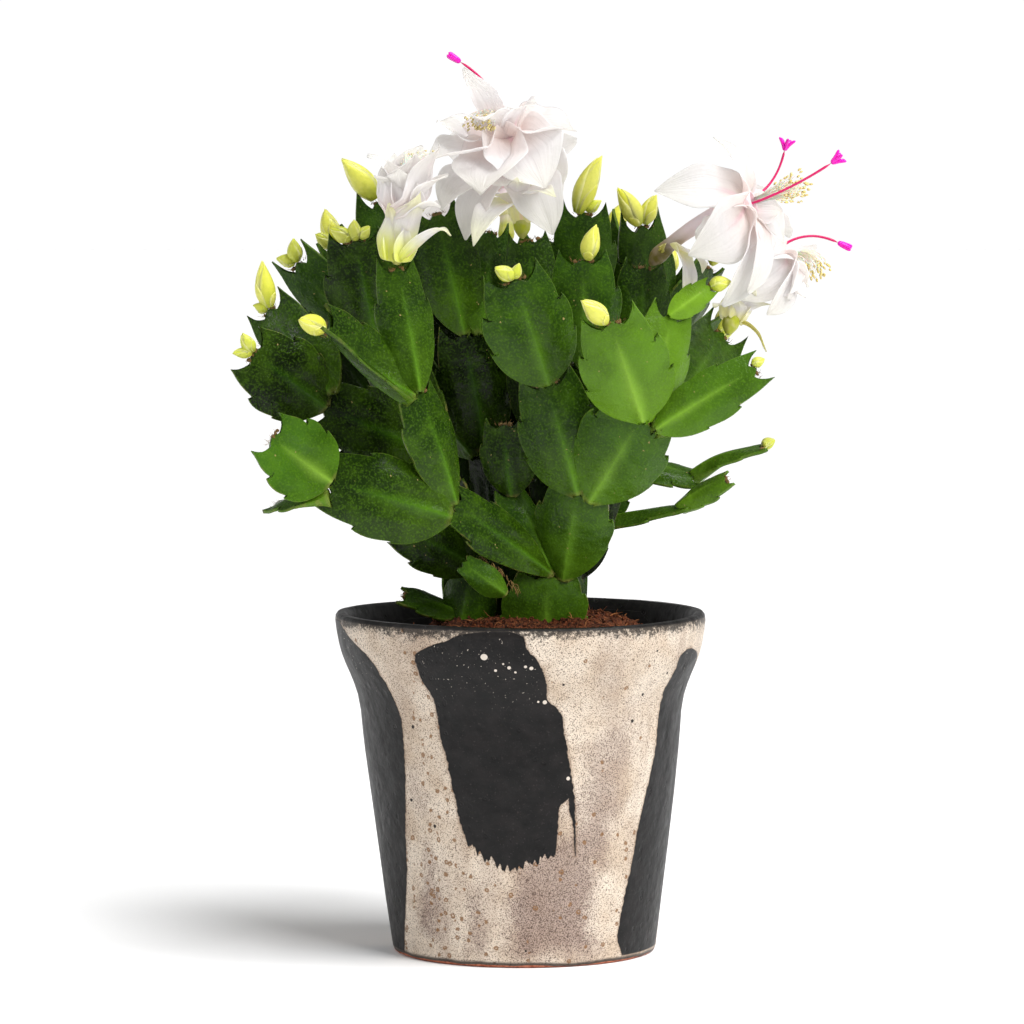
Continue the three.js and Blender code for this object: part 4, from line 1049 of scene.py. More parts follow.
def bed_height(x, y):
    distance = np.hypot(x - SOIL_CENTRE[0], y - SOIL_CENTRE[1])
    mound = BED_RISE * np.exp(-((distance / 46) ** 6))
    return SOIL_EDGE - 1 + mound + 0.9 * np.sin(0.31 * x + 1.7 * np.sin(0.23 * y)) * np.cos(0.27 * y)


def build_soil(material):
    """The top of the root ball: a square grid drawn to a round bed, uneven and with a low edge."""
    deselect()
    bpy.ops.mesh.primitive_grid_add(x_subdivisions=BED_CELLS, y_subdivisions=BED_CELLS, size=2)
    bed = bpy.context.active_object
    x, y, _ = points_of(bed).T
    reach = np.maximum(np.abs(x), np.abs(y))
    length = np.maximum(np.hypot(x, y), 1e-9)
    x, y = BED_RADIUS * x * reach / length, BED_RADIUS * y * reach / length
    coarse = np.array([noise.noise(Vector((a, b, 0)) * 0.4) for a, b in zip(x, y)])
    fine = np.array([noise.noise(Vector((a, b, 7)) * 1.1) for a, b in zip(x, y)])
    edge = smooth_step(0.93, 1.0, np.hypot(x, y) / BED_RADIUS)
    z = bed_height(x, y) + 1.1 * coarse + 0.9 * fine - 3 * edge
    move_points(bed, np.stack([x, y, z], axis=1) * MM)
    apply_modifier(bed, "SOLIDIFY", thickness=BED_DEPTH * MM, offset=-1)
    finished("peat_bed", [bed], material, "potting_soil", "soil")


def spot_on_bed(chance, reach):
    angle = chance.uniform(0, TURN)
    away = BED_RADIUS * reach * math.sqrt(chance.random())
    return away * math.cos(angle), away * math.sin(angle)


def build_litter(masters, materials):
    """Loose fibres, crumbs and dead sprigs on the peat."""
    chance = random.Random(5)
    strands, lumps = [], []
    for _ in range(PEAT_FIBRES):
        x, y = spot_on_bed(chance, 0.96)
        way = unit((chance.uniform(-1, 1), chance.uniform(-1, 1), chance.uniform(0, 0.9)))
        lean = way + (chance.uniform(-0.7, 0.7), chance.uniform(-0.7, 0.7), chance.uniform(-0.8, 0))
        line = bent_line((x, y, bed_height(x, y)), way, lean, chance.uniform(1.5, 5.5), 4)
        line[:, 2] = np.maximum(line[:, 2], bed_height(line[:, 0], line[:, 1]) + 0.3)
        inside = np.hypot(line[:, 0], line[:, 1]) / (BED_RADIUS - 0.5)
        line[:, :2] /= np.maximum(inside, 1)[:, None]
        thick = chance.uniform(0.1, 0.26)
        tone = (chance.random(), 0.5, 0.5)
        strands.append(laid_copy(masters["bristle"], stalk(line, [thick, thick, 0.5 * thick]), tone))
    for _ in range(PEAT_CRUMBS):
        x, y = spot_on_bed(chance, 0.95)
        size = chance.uniform(0.35, 1.15)
        shape = [chance.uniform(0.6, 1.3) * size for _ in range(3)]
        centre = np.array((x, y, bed_height(x, y) + 0.4))
        rough = lump(centre, shape, chance)
        lumps.append(laid_copy(masters["crumb"], rough, (chance.random(), 0.5, 0.5)))
    for x, y, height in SPRIGS:
        line = bent_line((x, y, bed_height(x, y)), (0, 0, 1), (0.1, 0, 1), height, 4)
        strands.append(laid_copy(masters["bristle"], stalk(line, [0.6, 0.5, 0.35]), (0.3, 0.5, 0.5)))
    finished("peat_fibres", strands, materials["fibre"], "potting_soil")
    crumbs = joined("peat_crumbs", lumps)
    dress(crumbs, materials["peat"], "potting_soil")


# Materials

SOFT = {"interpolation_type": "SMOOTHSTEP"}
PER_METRE = 1000.0  # millimetres in a metre


def linear(code):
    """A colour written as an sRGB hex value, turned to linear."""
    channels = [int(code[k:k + 2], 16) / 255 for k in (1, 3, 5)]
    return tuple(c / 12.92 if c <= 0.04045 else ((c + 0.055) / 1.055) ** 2.4 for c in channels) + (1,)


def add_node(tree, kind, *inputs, out=None, **settings):
    """Adds a node. Values, colours and outputs fill its sockets in order or, with a capital, by name."""
    node = tree.nodes.new("ShaderNode" + kind)
    for name, value in settings.items():
        if name[0].islower():
            setattr(node, name, value)
    sockets = [socket for socket in node.inputs if socket.enabled]
    named = {socket.name.replace(" ", "_"): socket for socket in sockets}
    pairs = list(zip(sockets, inputs))
    pairs += [(named[name], value) for name, value in settings.items() if name[0].isupper()]
    for socket, value in pairs:
        if isinstance(value, bpy.types.NodeSocket):
            tree.links.new(value, socket)
        elif value is not None:
            socket.default_value = linear(value) if isinstance(value, str) else value
    return node.outputs[out] if out else next(socket for socket in node.outputs if socket.enabled)


def start_material(name, **finish):
    """A new material with constants on its shader's own sockets."""
    material = bpy.data.materials.new(name)
    material.use_nodes = True
    tree = material.node_tree
    shader = tree.nodes["Principled BSDF"]
    for key, value in finish.items():
        socket = shader.inputs[key.replace("_", " ")]
        socket.default_value = linear(value) if isinstance(value, str) else value
    add = functools.partial(add_node, tree)
    return material, add, shader


def feed(shader, **looks):
    """Joins outputs to the shader's sockets."""
    for key, output in looks.items():
        shader.id_data.links.new(output, shader.inputs[key.replace("_", " ")])


def blotches(add, size_mm, low, high, detail=2.0, place=None):
    """Soft-edged blotches of about this size, 0 outside and 1 inside."""
    place = place or add("TexCoord", out="Object")
    cloud = add("TexNoise", place, Scale=PER_METRE / size_mm, Detail=detail)
    return add("MapRange", cloud, low, high, **SOFT)


def relief(add, *layers):
    """Adds up bumps. Each layer is a height from 0 to 1 and its depth in millimetres."""
    normal = None
    for height, depth in layers:
        normal = add("Bump", Height=height, Distance=depth * MM, Strength=1.0, Normal=normal)
    return normal


def grid_place(add):
    """Across and along a slab or a rod, 0 to 1 each, from its UV map."""
    parts = add("SeparateXYZ", add("UVMap", out="UV"))
    return parts, parts.node.outputs["Y"]


def off_middle(add, across):
    """How far a point of a slab lies from its middle line, 0 to 1."""
    return add("Math", add("Math", across, 2.0, -1.0, operation="MULTIPLY_ADD"), operation="ABSOLUTE")


def tinted(add, colour, tint, pattern, strength):
    """Lays a tint over a colour where a pattern shows, as strongly as a number or pattern says."""
    share = add("Math", pattern, strength, operation="MULTIPLY")
    return add("Mix", share, colour, tint, data_type="RGBA")


def stretched(add, across, across_scale, along, along_scale):
    """A place for a pattern that is drawn out along one way, as veins and brush hairs are."""
    wide = add("Math", across, across_scale, operation="MULTIPLY")
    return add("CombineXYZ", wide, add("Math", along, along_scale, operation="MULTIPLY"))


def wandering(add, place, scale, detail, low, high):
    """A cloudy value between two limits, for edges and levels that aren't quite straight."""
    return add("MapRange", add("TexNoise", place, Scale=scale, Detail=detail), 0.0, 1.0, low, high)


def tone_of(add):
    """The three parts of the tone that each copy of a master carries."""
    parts = add("SeparateColor", add("VertexColor", out="Color", layer_name="Tone"))
    return parts, parts.node.outputs["Green"], parts.node.outputs["Blue"]


def waxy_pad_skin():
    # Thick cactus skin: dark green, waxy and satin, finely mottled, with a paler rib and margin. Along the
    # rib lies a painted highlight as well, and painted shade darkens broad patches and the pads deep
    # inside.
    material, add, shader = start_material("waxy_cactus_skin", IOR=1.42, Specular_IOR_Level=0.22)
    across, along = grid_place(add)
    off_rib = off_middle(add, across)
    light, yellow, age_and_shade = tone_of(add)
    deep = add("Mix", light, "#0c1902", "#3c6716", data_type="RGBA")
    fresh = add("Mix", light, "#244205", "#779f26", data_type="RGBA")
    colour = tinted(add, deep, fresh, yellow, 0.8)
    paler = add("Mix", 0.45, colour, "#5f8a14", data_type="RGBA")
    colour = tinted(add, colour, paler, blotches(add, 8, 0.4, 0.7, 3), 0.35)
    # Painted shade: broad dark blotches, about 17 mm across, darken the green as if parts of the pad lay in
    # shade.
    shade_blotch_colour = add("Mix", 0.6, colour, "#0d1c02", data_type="RGBA")
    colour = tinted(add, colour, shade_blotch_colour, blotches(add, 17, 0.42, 0.62, 2), 0.55)
    pores = blotches(add, 0.8, 0.46, 0.66, 3)
    colour = tinted(add, colour, paler, pores, 0.5)
    # The rib is paler green and partly a painted highlight: broad at the neck, fading up the pad, and
    # lighter on paler pads.
    spread = add("MapRange", along, 0.0, 0.8, 0.5, 0.2)
    rib = add("MapRange", off_rib, 0.0, spread, 1.0, 0.0, **SOFT)
    fade = add("MapRange", along, 0.02, 0.8, 1.0, 0.0)
    rib_pale_and_highlight = add("Math", add("Math", light, 0.5, 0.4, operation="MULTIPLY_ADD"), rib, operation="MULTIPLY")
    glow = add("Mix", light, "#4a8410", "#a3cc4c", data_type="RGBA")
    colour = tinted(add, colour, glow, rib_pale_and_highlight, fade)
    flush = add("MapRange", along, 0.0, 0.5, 1.0, 0.0, **SOFT)
    colour = tinted(add, colour, "#6f9a1c", add("Math", yellow, 0.6, 0.08, operation="MULTIPLY_ADD"), flush)
    margin = add("MapRange", off_rib, 0.9, 0.97, **SOFT)
    colour = tinted(add, colour, "#6f9230", margin, 0.25)
    patchy = add("Math", margin, blotches(add, 3, 0.5, 0.6), operation="MULTIPLY")
    cork_edge = add("Math", patchy, age_and_shade, operation="MULTIPLY")
    neck = add("MapRange", along, 0.02, 0.06, 1.0, 0.0, **SOFT)
    cork_neck = add("Math", neck, age_and_shade, operation="MULTIPLY")
    cork = add("Math", add("Math", cork_edge, cork_neck, operation="MAXIMUM"), 0.6, operation="MULTIPLY")
    colour = add("Mix", cork, colour, "#9a8a52", data_type="RGBA")
    scar_cloud = add("TexNoise", add("TexCoord", out="Object"), Scale=620.0, Detail=1.0)
    scars = add("Math", scar_cloud, 0.79, operation="GREATER_THAN")
    colour = tinted(add, colour, "#a8925f", scars, 0.7)
    # Painted shade: a pad whose third tone part is past 0.7 sits deep in the plant and is darkened towards
    # near black.
    painted_depth_shade = add("MapRange", age_and_shade, 0.7, 1.0, 0.0, 0.9)
    colour = add("Mix", painted_depth_shade, colour, "#050a01", data_type="RGBA")
    gloss = add("MapRange", blotches(add, 6, 0.3, 0.7, 3), 0.0, 1.0, 0.22, 0.38)
    dimples = add("TexNoise", add("TexCoord", out="Object"), Scale=130.0, Detail=2.0)
    cells = add("TexNoise", add("TexCoord", out="Object"), Scale=1100.0, Detail=1.0)
    bumps = relief(add, (dimples, 1.1), (cells, 0.1), (pores, 0.06))
    feed(shader, Base_Color=colour, Roughness=gloss, Normal=bumps)
    return material


def areole_felt():
    # Areoles: dry brown felt and stiff hairs, matt and uneven.
    material, add, shader = start_material("areole_felt", Roughness=0.85)
    shade, _, _ = tone_of(add)
    colour = add("Mix", shade, "#4c3c1c", "#a88a4e", data_type="RGBA")
    speck = blotches(add, 0.6, 0.4, 0.6)
    colour = add("Mix", speck, colour, "#705330", data_type="RGBA")
    feed(shader, Base_Color=colour, Normal=relief(add, (speck, 0.1)))
    return material


def bud_tepal_skin():
    # Bud scales: smooth, firm and waxy yellow-green, greener at the foot and whitish at the edges.
    material, add, shader = start_material(
        "waxy_bud_scale", IOR=1.42, Roughness=0.34,
        Subsurface_Weight=0.3, Subsurface_Radius=(1.0, 0.95, 0.3), Subsurface_Scale=0.0015,
    )
    across, along = grid_place(add)
    young, _, chance = tone_of(add)
    body = add("Mix", young, "#ebe653", "#c2cb36", data_type="RGBA")
    body = tinted(add, body, "#f2ee8c", chance, 0.35)
    foot = add("MapRange", along, 0.02, 0.45, 1.0, 0.0, **SOFT)
    colour = tinted(add, body, "#a5b824", foot, 0.6)
    edge = add("MapRange", off_middle(add, across), 0.6, 1.0, **SOFT)
    colour = tinted(add, colour, "#eeeab0", edge, 0.45)
    streak = blotches(add, 1.6, 0.4, 0.7)
    colour = tinted(add, colour, "#9db02a", streak, 0.15)
    feed(shader, Base_Color=colour, Normal=relief(add, (streak, 0.06)))
    return material


def petal_skin():
    # Petals: thin, moist, translucent white, with lengthwise veins and a faint pink root. A weak
    # glow stands for the light that passes through several petals at once.
    material, add, shader = start_material(
        "translucent_petal", IOR=1.38, Emission_Strength=0.28, Specular_IOR_Level=0.15,
        Subsurface_Weight=0.75, Subsurface_Radius=(1.0, 0.95, 0.92), Subsurface_Scale=0.004,
    )
    across, along = grid_place(add)
    outer, wilted, chance = tone_of(add)
    white = add("Mix", chance, "#c8c4c4", "#bfbab9", data_type="RGBA")
    root = add("MapRange", along, 0.05, 0.55, 1.0, 0.0, **SOFT)
    root_colour = add("Mix", outer, "#d0b2b8", "#c6cc2e", data_type="RGBA")
    colour = tinted(add, white, root_colour, root, add("Math", outer, 0.4, 0.5, operation="MULTIPLY_ADD"))
    tip = add("MapRange", along, 0.45, 1.0, **SOFT)
    colour = tinted(add, colour, "#cdcb52", add("Math", tip, outer, operation="MULTIPLY"), 0.6)
    keel = add("MapRange", off_middle(add, across), 0.0, 0.25, 1.0, 0.0, **SOFT)
    colour = tinted(add, colour, "#db93ae", add("Math", keel, root, operation="MULTIPLY"), 0.35)
    path = stretched(add, across, 24.0, along, 1.5)
    veins = add("MapRange", add("TexNoise", path, Scale=1.0, Detail=2.0), 0.4, 0.72, **SOFT)
    colour = tinted(add, colour, "#b4abaa", veins, 0.2)
    colour = add("Mix", wilted, colour, "#9c9440", data_type="RGBA")
    crinkle = add("TexNoise", add("TexCoord", out="Object"), Scale=260.0, Detail=2.0)
    gloss = add("MapRange", veins, 0.0, 1.0, 0.36, 0.5)
    feed(shader, Base_Color=colour, Emission_Color=colour, Roughness=gloss)
    feed(shader, Normal=relief(add, (veins, 0.1), (crinkle, 0.3)))
    return material


def tube_skin():
    # The bloom's tube: yellow-green ovary, then pinkish white, and a deep pink throat.
    material, add, shader = start_material(
        "bloom_tube_skin", IOR=1.4, Roughness=0.4,
        Subsurface_Weight=0.5, Subsurface_Radius=(1.0, 0.8, 0.7), Subsurface_Scale=0.002,
    )
    _, along = grid_place(add)
    green = add("MapRange", along, 0.22, 0.42, 1.0, 0.0, **SOFT)
    withered, _, _ = tone_of(add)
    ovary = add("Mix", withered, "#a8b02c", "#6e641c", data_type="RGBA")
    colour = add("Mix", green, "#f0dfe2", ovary, data_type="RGBA")
    throat = add("MapRange", along, 0.66, 0.9, **SOFT)
    colour = add("Mix", throat, colour, "#dd95b0", data_type="RGBA")
    streak = blotches(add, 3, 0.35, 0.7)
    colour = tinted(add, colour, "#e6c8cf", streak, 0.2)
    feed(shader, Base_Color=colour, Normal=relief(add, (streak, 0.15)))
    return material


def style_skin():
    # The style: waxy crimson, with a hot magenta stigma.
    material, add, shader = start_material("waxy_style", Roughness=0.34)
    stigma, _, _ = tone_of(add)
    colour = add("Mix", stigma, "#c40d40", "#f414c6", data_type="RGBA")
    grain = blotches(add, 0.8, 0.35, 0.7)
    colour = tinted(add, colour, "#e0308a", grain, 0.25)
    feed(shader, Base_Color=colour, Normal=relief(add, (grain, 0.05)))
    return material


def filament_skin():
    # Filaments: thin, moist white threads, nearly clear.
    material, add, shader = start_material(
        "filament_thread", Roughness=0.4, Subsurface_Weight=0.5, Subsurface_Scale=0.001)
    grain = blotches(add, 2, 0.3, 0.7)
    feed(shader, Base_Color=add("Mix", grain, "#f2ecdc", "#e6dcc4", data_type="RGBA"))
    return material


def pollen():
    # Anthers: grains of cream-yellow pollen, matt.
    material, add, shader = start_material("anther_pollen", Roughness=0.85)
    shade, _, _ = tone_of(add)
    colour = add("Mix", shade, "#e6cf7c", "#f5eab4", data_type="RGBA")
    grain = blotches(add, 0.4, 0.4, 0.65)
    colour = tinted(add, colour, "#d8b85c", grain, 0.4)
    feed(shader, Base_Color=colour, Normal=relief(add, (grain, 0.08)))
    return material


def peat():
    # Moist peat: dark red-brown crumbs, matt.
    material, add, shader = start_material("moist_peat", Roughness=0.95)
    colour = add("Mix", blotches(add, 2.2, 0.3, 0.7, 3), "#23100a", "#6b3822", data_type="RGBA")
    colour = tinted(add, colour, "#98603c", blotches(add, 0.7, 0.5, 0.72), 0.6)
    lumps = add("TexNoise", add("TexCoord", out="Object"), Scale=900.0, Detail=4.0)
    feed(shader, Base_Color=colour, Normal=relief(add, (lumps, 0.9)))
    return material


def peat_fibre():
    # Peat fibres: dry reddish strands.
    material, add, shader = start_material("peat_fibre", Roughness=0.85)
    shade, _, _ = tone_of(add)
    colour = add("Mix", shade, "#4a2312", "#c98452", data_type="RGBA")
    grain = blotches(add, 0.8, 0.4, 0.7)
    colour = tinted(add, colour, "#6f3c22", grain, 0.4)
    feed(shader, Base_Color=colour, Normal=relief(add, (grain, 0.1)))
    return material


# Brush strokes of black glaze: height in millimetres with the bearings of the left and the right
# edge there, in degrees from the front and to the right.
STROKES = {
    "front": [
        (37, -6, -2), (39, -9, 2), (43, -16, 13.8), (46.5, -20, 14), (54, -23.3, 14.2), (61, -24.5, 15),
        (66, -25.6, 19.6), (72, -26.4, 18.6), (79, -27.6, 17.4), (88, -29.7, 15.7), (97, -30.3, 13.2),
        (101, -31, 9), (107, -33.5, 8.3), (116, -34.2, 5.2), (120, -29.5, 2.2), (123, -22, 1.4),
        (125, -18.5, 0.6), (126.6, -9, -3),
    ],
    "sliver": [(42, 21.3, 21.8), (48, 20.8, 21.6), (55, 19.6, 21), (62, 17.8, 20.3), (66.5, 18.4, 19.8)],
    "left": [
        (2, -98, -63.5), (15.6, -97, -58.2), (30.5, -96, -53.5), (50, -95, -50.3), (65, -94, -47.9),
        (77, -93, -46.7), (88, -93, -46.6), (98, -92, -48.7), (107, -92, -51.6), (114, -94, -55.2),
        (120, -94, -65), (126, -94, -75),
    ],
    "right": [
        (2.4, 48, 84), (10, 44.2, 86), (23.6, 46, 88), (37, 48.6, 88), (50, 50.3, 88), (63, 52.9, 88),
        (78, 55.9, 88), (92, 56.8, 88), (102, 57, 87), (108, 59.5, 83), (114, 60, 76), (116.5, 64, 68),
    ],
    "back_right": [
        (30, 133, 137), (36, 124, 148), (50, 120, 156), (70, 117, 160), (90, 118, 164), (105, 121, 166),
        (118, 126, 162), (124, 134, 150),
    ],
    "back_left": [
        (2, -166, -134), (30, -170, -132), (60, -172, -130), (90, -170, -128), (108, -164, -128),
        (118, -156, -130), (121, -148, -138),
    ],
}

# Thin mauve-brown washes between the strokes, in the same way.
WASHES = {
    "right": [
        (4, -4, 34), (19, -5, 28), (33, -4, 33), (41, 3, 34), (51, 20, 37), (67, 23, 40), (84, 24, 42),
        (92, 36, 43), (99, 40, 44),
    ],
    "left_low": [(12, -46, -36), (25, -45, -35), (35, -42, -36), (43, -40, -38)],
    "left_high": [(56, -43, -40), (66, -44, -40), (74, -44, -42)],
    "middle": [(6, -22, -16), (22, -20, -15), (30, -18, -16)],
    "back": [(10, 104, 118), (40, 100, 114), (70, 102, 116), (96, 104, 110)],
    "far_left": [(8, -124, -106), (36, -122, -108), (66, -124, -110), (88, -118, -112)],
}

WALL_STEP = 60 * math.pi / 180  # millimetres round the wall for one degree of bearing

# White drops that fell on the front stroke: bearing, height and radius in millimetres.
DROPS = [
    (-11, 117.1, 1.15), (-3.4, 113.2, 0.6), (1.6, 113.6, 0.5), (3.4, 113, 0.65), (8.2, 100, 0.75),
    (6, 100.2, 0.4), (-7.6, 112.1, 0.5), (-1.5, 111.5, 0.4), (17.4, 71.3, 0.7), (-5.2, 114.6, 0.35),
]


def edge_bearing(add, height_share, rows, column):
    """The bearing of one edge of a stroke at each height."""
    curve_output = add("FloatCurve", Value=height_share)
    mapping = curve_output.node.mapping
    points = mapping.curves[0].points
    places = [(row[0] / POT_HEIGHT, (row[column] + 180) / 360) for row in rows]
    while len(points) < len(places):
        points.new(0.5, 0.5)
    for point, place in zip(points, places):
        point.location = place
        point.handle_type = "AUTO_CLAMPED"
    mapping.extend = "HORIZONTAL"
    mapping.update()
    return add("Math", curve_output, 360.0, -180.0, operation="MULTIPLY_ADD")


def stroke_depth(add, bearing, height, rows):
    """How far inside a stroke a point lies, in degrees of bearing; below 0 is outside it."""
    share = add("Math", height, float(POT_HEIGHT), operation="DIVIDE")
    left = add("Math", bearing, edge_bearing(add, share, rows, 1), operation="SUBTRACT")
    right = add("Math", edge_bearing(add, share, rows, 2), bearing, operation="SUBTRACT")
    above = add("Math", height, float(rows[0][0]), operation="SUBTRACT")
    below = add("Math", float(rows[-1][0]), height, operation="SUBTRACT")
    sides = add("Math", left, right, operation="MINIMUM")
    return add("Math", sides, add("Math", above, below, operation="MINIMUM"), operation="MINIMUM")


def all_strokes(add, bearing, readings, table):
    """How far inside any stroke of a table a point lies, each at its own reading of the height."""
    depth = None
    for name, rows in table.items():
        inside = stroke_depth(add, bearing, readings.get(name, readings["all"]), rows)
        depth = add("Math", depth, inside, operation="MAXIMUM") if depth else inside
    return depth


def stroke_reach(add, place, bearing, height):
    """How far inside the black strokes a point lies. Their edges are ragged, and the front one
    ends in dry brush hairs at its foot."""
    ragged = wandering(add, place, 450.0, 3.0, -0.9, 0.9)
    rough_bearing = add("Math", bearing, ragged, operation="ADD")
    hairs = stretched(add, bearing, 0.5, height, 0.03)
    bristles = wandering(add, hairs, 1.0, 1.5, -6.0, 6.0)
    low_end = add("MapRange", height, 40.0, 60.0, 1.0, 0.0, **SOFT)
    dry_height = add("Math", bristles, low_end, height, operation="MULTIPLY_ADD")
    return all_strokes(add, rough_bearing, {"all": height, "front": dry_height}, STROKES)


def wash_share(add, place, bearing, height):
    """How strongly the thin washes cover the ground, with soft grainy edges."""
    grainy = wandering(add, place, 900.0, 3.0, -7.0, 7.0)
    drift = wandering(add, place, 90.0, 3.0, -9.0, 9.0)
    washed_bearing = add("Math", add("Math", bearing, grainy, operation="ADD"), drift, operation="ADD")
    wash_height = add("Math", height, drift, operation="ADD")
    depth = all_strokes(add, washed_bearing, {"all": wash_height}, WASHES)
    return add("MapRange", depth, -4.0, 5.0)


def crater_ring(add, place, bearing, height):
    """Brown rings round some pits, more of them left of the front stroke and near the foot."""
    nudged = add("Mix", 0.0012, place, add("TexNoise", place, out="Color", Scale=700.0), data_type="VECTOR")
    pits = add("TexVoronoi", nudged, out="Distance", Scale=330.0)
    pick = add("SeparateColor", pits.node.outputs["Color"])
    column = add("MapRange", add("Math", bearing, 33.0, operation="ADD"), -7.0, 7.0, -1.0, 1.0, clamp=False)
    near_column = add("MapRange", add("Math", column, operation="ABSOLUTE"), 0.5, 1.3, 0.6, 0.0)
    low_part = add("MapRange", height, 30.0, 70.0, 0.3, 0.05)
    chosen = add("Math", pick, add("Math", near_column, low_part, operation="ADD"), operation="LESS_THAN")
    ring = add("Math", add("Math", pits, 0.2, operation="SUBTRACT"), operation="ABSOLUTE")
    ring = add("MapRange", ring, 0.04, 0.16, 1.0, 0.0, **SOFT)
    return add("Math", ring, chosen, operation="MULTIPLY")


def cream_ground(add, place, bearing, height):
    """Cream glaze with brown runs, mauve washes and iron specks."""
    wash = wash_share(add, place, bearing, height)
    cream = add("Mix", blotches(add, 16, 0.35, 0.7, 3), "#d8cab9", "#c2af9a", data_type="RGBA")
    runs_path = stretched(add, bearing, 0.07, height, 0.014)
    runs = add("MapRange", add("TexNoise", runs_path, Scale=1.0, Detail=3.0), 0.5, 0.66, **SOFT)
    cream = tinted(add, cream, "#a08c7d", runs, 0.35)
    thin = add("MapRange", height, 25.0, 100.0, 0.75, 0.3)
    washed = add("Math", wash, thin, operation="MULTIPLY")
    cream = add("Mix", washed, cream, "#8e786f", data_type="RGBA")
    iron_cloud = add("TexNoise", place, Scale=2600.0, Detail=1.0, Roughness=0.6)
    iron_level = add("Math", washed, -0.07, 0.53, operation="MULTIPLY_ADD")
    iron = add("MapRange", add("Math", iron_cloud, iron_level, operation="SUBTRACT"), 0.0, 0.1)
    return tinted(add, cream, "#4a382f", iron, 0.9)


def black_ink(add, place, bearing, height):
    """Black glaze with pinholes and the white drops that fell on it."""
    ink = add("Mix", blotches(add, 6, 0.35, 0.75, 3), "#0b0a0a", "#181515", data_type="RGBA")
    pinholes = add("MapRange", add("TexNoise", place, Scale=1400.0, Detail=2.0), 0.64, 0.74)
    ink = tinted(add, ink, "#544d4b", pinholes, 0.3)
    wall = add("CombineXYZ", add("Math", bearing, WALL_STEP, operation="MULTIPLY"), height)
    splash = add("MapRange", add("TexNoise", place, Scale=1300.0, Detail=1.0), 0.73, 0.76)
    splash = add("Math", splash, add("MapRange", height, 96.0, 112.0), operation="MULTIPLY")
    for drop_bearing, drop_height, size in DROPS:
        centre = (drop_bearing * WALL_STEP, drop_height, 0.0)
        away = add("VectorMath", wall, centre, operation="DISTANCE", out="Value")
        drop = add("Math", away, size, operation="LESS_THAN")
        splash = add("Math", splash, drop, operation="MAXIMUM")
    return add("Mix", splash, ink, "#cfc4b8", data_type="RGBA")


def smoked_rim(add, place, flat, height, colour):
    """Lays the smoky band under the rim, and the sooty lip and inside, over a colour."""
    smoke = add("TexNoise", place, Scale=700.0, Detail=4.0, Roughness=0.75)
    ripple = add("TexNoise", place, Scale=40.0, Detail=2.0)
    smoky = add("Math", smoke, 17.0, height, operation="MULTIPLY_ADD")
    smoky = add("Math", ripple, 7.0, smoky, operation="MULTIPLY_ADD")
    band = add("MapRange", smoky, 134.6, 137.4)
    colour = tinted(add, colour, "#1b1817", band, 0.9)
    lip = add("MapRange", height, 126.1, 127.0, **SOFT)
    normal = add("NewGeometry", out="Normal")
    facing = add("VectorMath", normal, flat, operation="DOT_PRODUCT", out="Value")
    inward = add("Math", facing, 0.0, operation="LESS_THAN")
    inside = add("Math", inward, add("Math", height, 8.0, operation="GREATER_THAN"), operation="MULTIPLY")
    dark = add("Math", lip, inside, operation="MAXIMUM")
    soot = add("Mix", blotches(add, 3, 0.3, 0.8, 3), "#0b0a0a", "#1f1c1b", data_type="RGBA")
    return add("Mix", dark, colour, soot, data_type="RGBA")


def bare_foot(add, place, height, colour):
    """Lays the bare clay foot over a colour, with a dark seam by it, and says where it is bare."""
    drip = add("TexNoise", place, Scale=55.0, Detail=2.0)
    foot = add("Math", drip, 2.6, height, operation="MULTIPLY_ADD")
    bare = add("MapRange", foot, 2.0, 2.3, 1.0, 0.0)
    seam = add("MapRange", foot, 2.9, 3.8, 1.0, 0.0)
    colour = tinted(add, colour, "#231b18", seam, 0.9)
    clay = add("Mix", blotches(add, 1.4, 0.3, 0.7), "#8a4630", "#b8745a", data_type="RGBA")
    colour = add("Mix", bare, colour, clay, data_type="RGBA")
    return colour, bare


def brushed_glaze():
    # Stoneware: thin cream glaze with dark iron specks and mauve washes, broad satin black brush
    # strokes, a smoky rim, black inside and a bare terracotta foot.
    material, add, shader = start_material("brushed_stoneware_glaze", IOR=1.5, Specular_IOR_Level=0.24)
    place = add("TexCoord", out="Object")
    parts = add("SeparateXYZ", place).node.outputs
    height = add("Math", parts["Z"], PER_METRE, operation="MULTIPLY")
    flat = add("CombineXYZ", parts["X"], parts["Y"])
    front = add("Math", parts["Y"], -1.0, operation="MULTIPLY")
    bearing = add("Math", parts["X"], front, operation="ARCTAN2")
    bearing = add("Math", bearing, 180 / math.pi, operation="MULTIPLY")
    depth = stroke_reach(add, place, bearing, height)
    black = add("MapRange", depth, -0.12, 0.25, **SOFT)
    cream = cream_ground(add, place, bearing, height)
    ring = crater_ring(add, place, bearing, height)
    cream = tinted(add, cream, "#7c5733", ring, 0.85)
    spots = add("TexVoronoi", place, out="Distance", Scale=105.0)
    spot = add("Math", spots, 0.075, operation="LESS_THAN")
    cream = add("Mix", spot, cream, "#241d1b", data_type="RGBA")
    halo = add("MapRange", depth, -1.1, -0.1, **SOFT)
    cream = tinted(add, cream, "#7d6350", halo, 0.45)
    ink = black_ink(add, place, bearing, height)
    colour = add("Mix", black, cream, ink, data_type="RGBA")
    colour = smoked_rim(add, place, flat, height, colour)
    colour, bare = bare_foot(add, place, height, colour)
    gloss = wandering(add, place, 300.0, 3.0, 0.35, 0.6)
    gloss = add("Mix", bare, gloss, 0.9, data_type="FLOAT")
    swell = add("TexNoise", place, Scale=95.0, Detail=2.0)
    craters = add("MapRange", spots, 0.1, 0.22)
    orange_peel = add("TexNoise", place, Scale=800.0, Detail=3.0)
    bumps = relief(add, (swell, 1.0), (black, 0.2), (craters, 0.15), (ring, -0.15), (orange_peel, 0.12))
    feed(shader, Base_Color=colour, Roughness=gloss, Normal=bumps)
    return material


# Studio

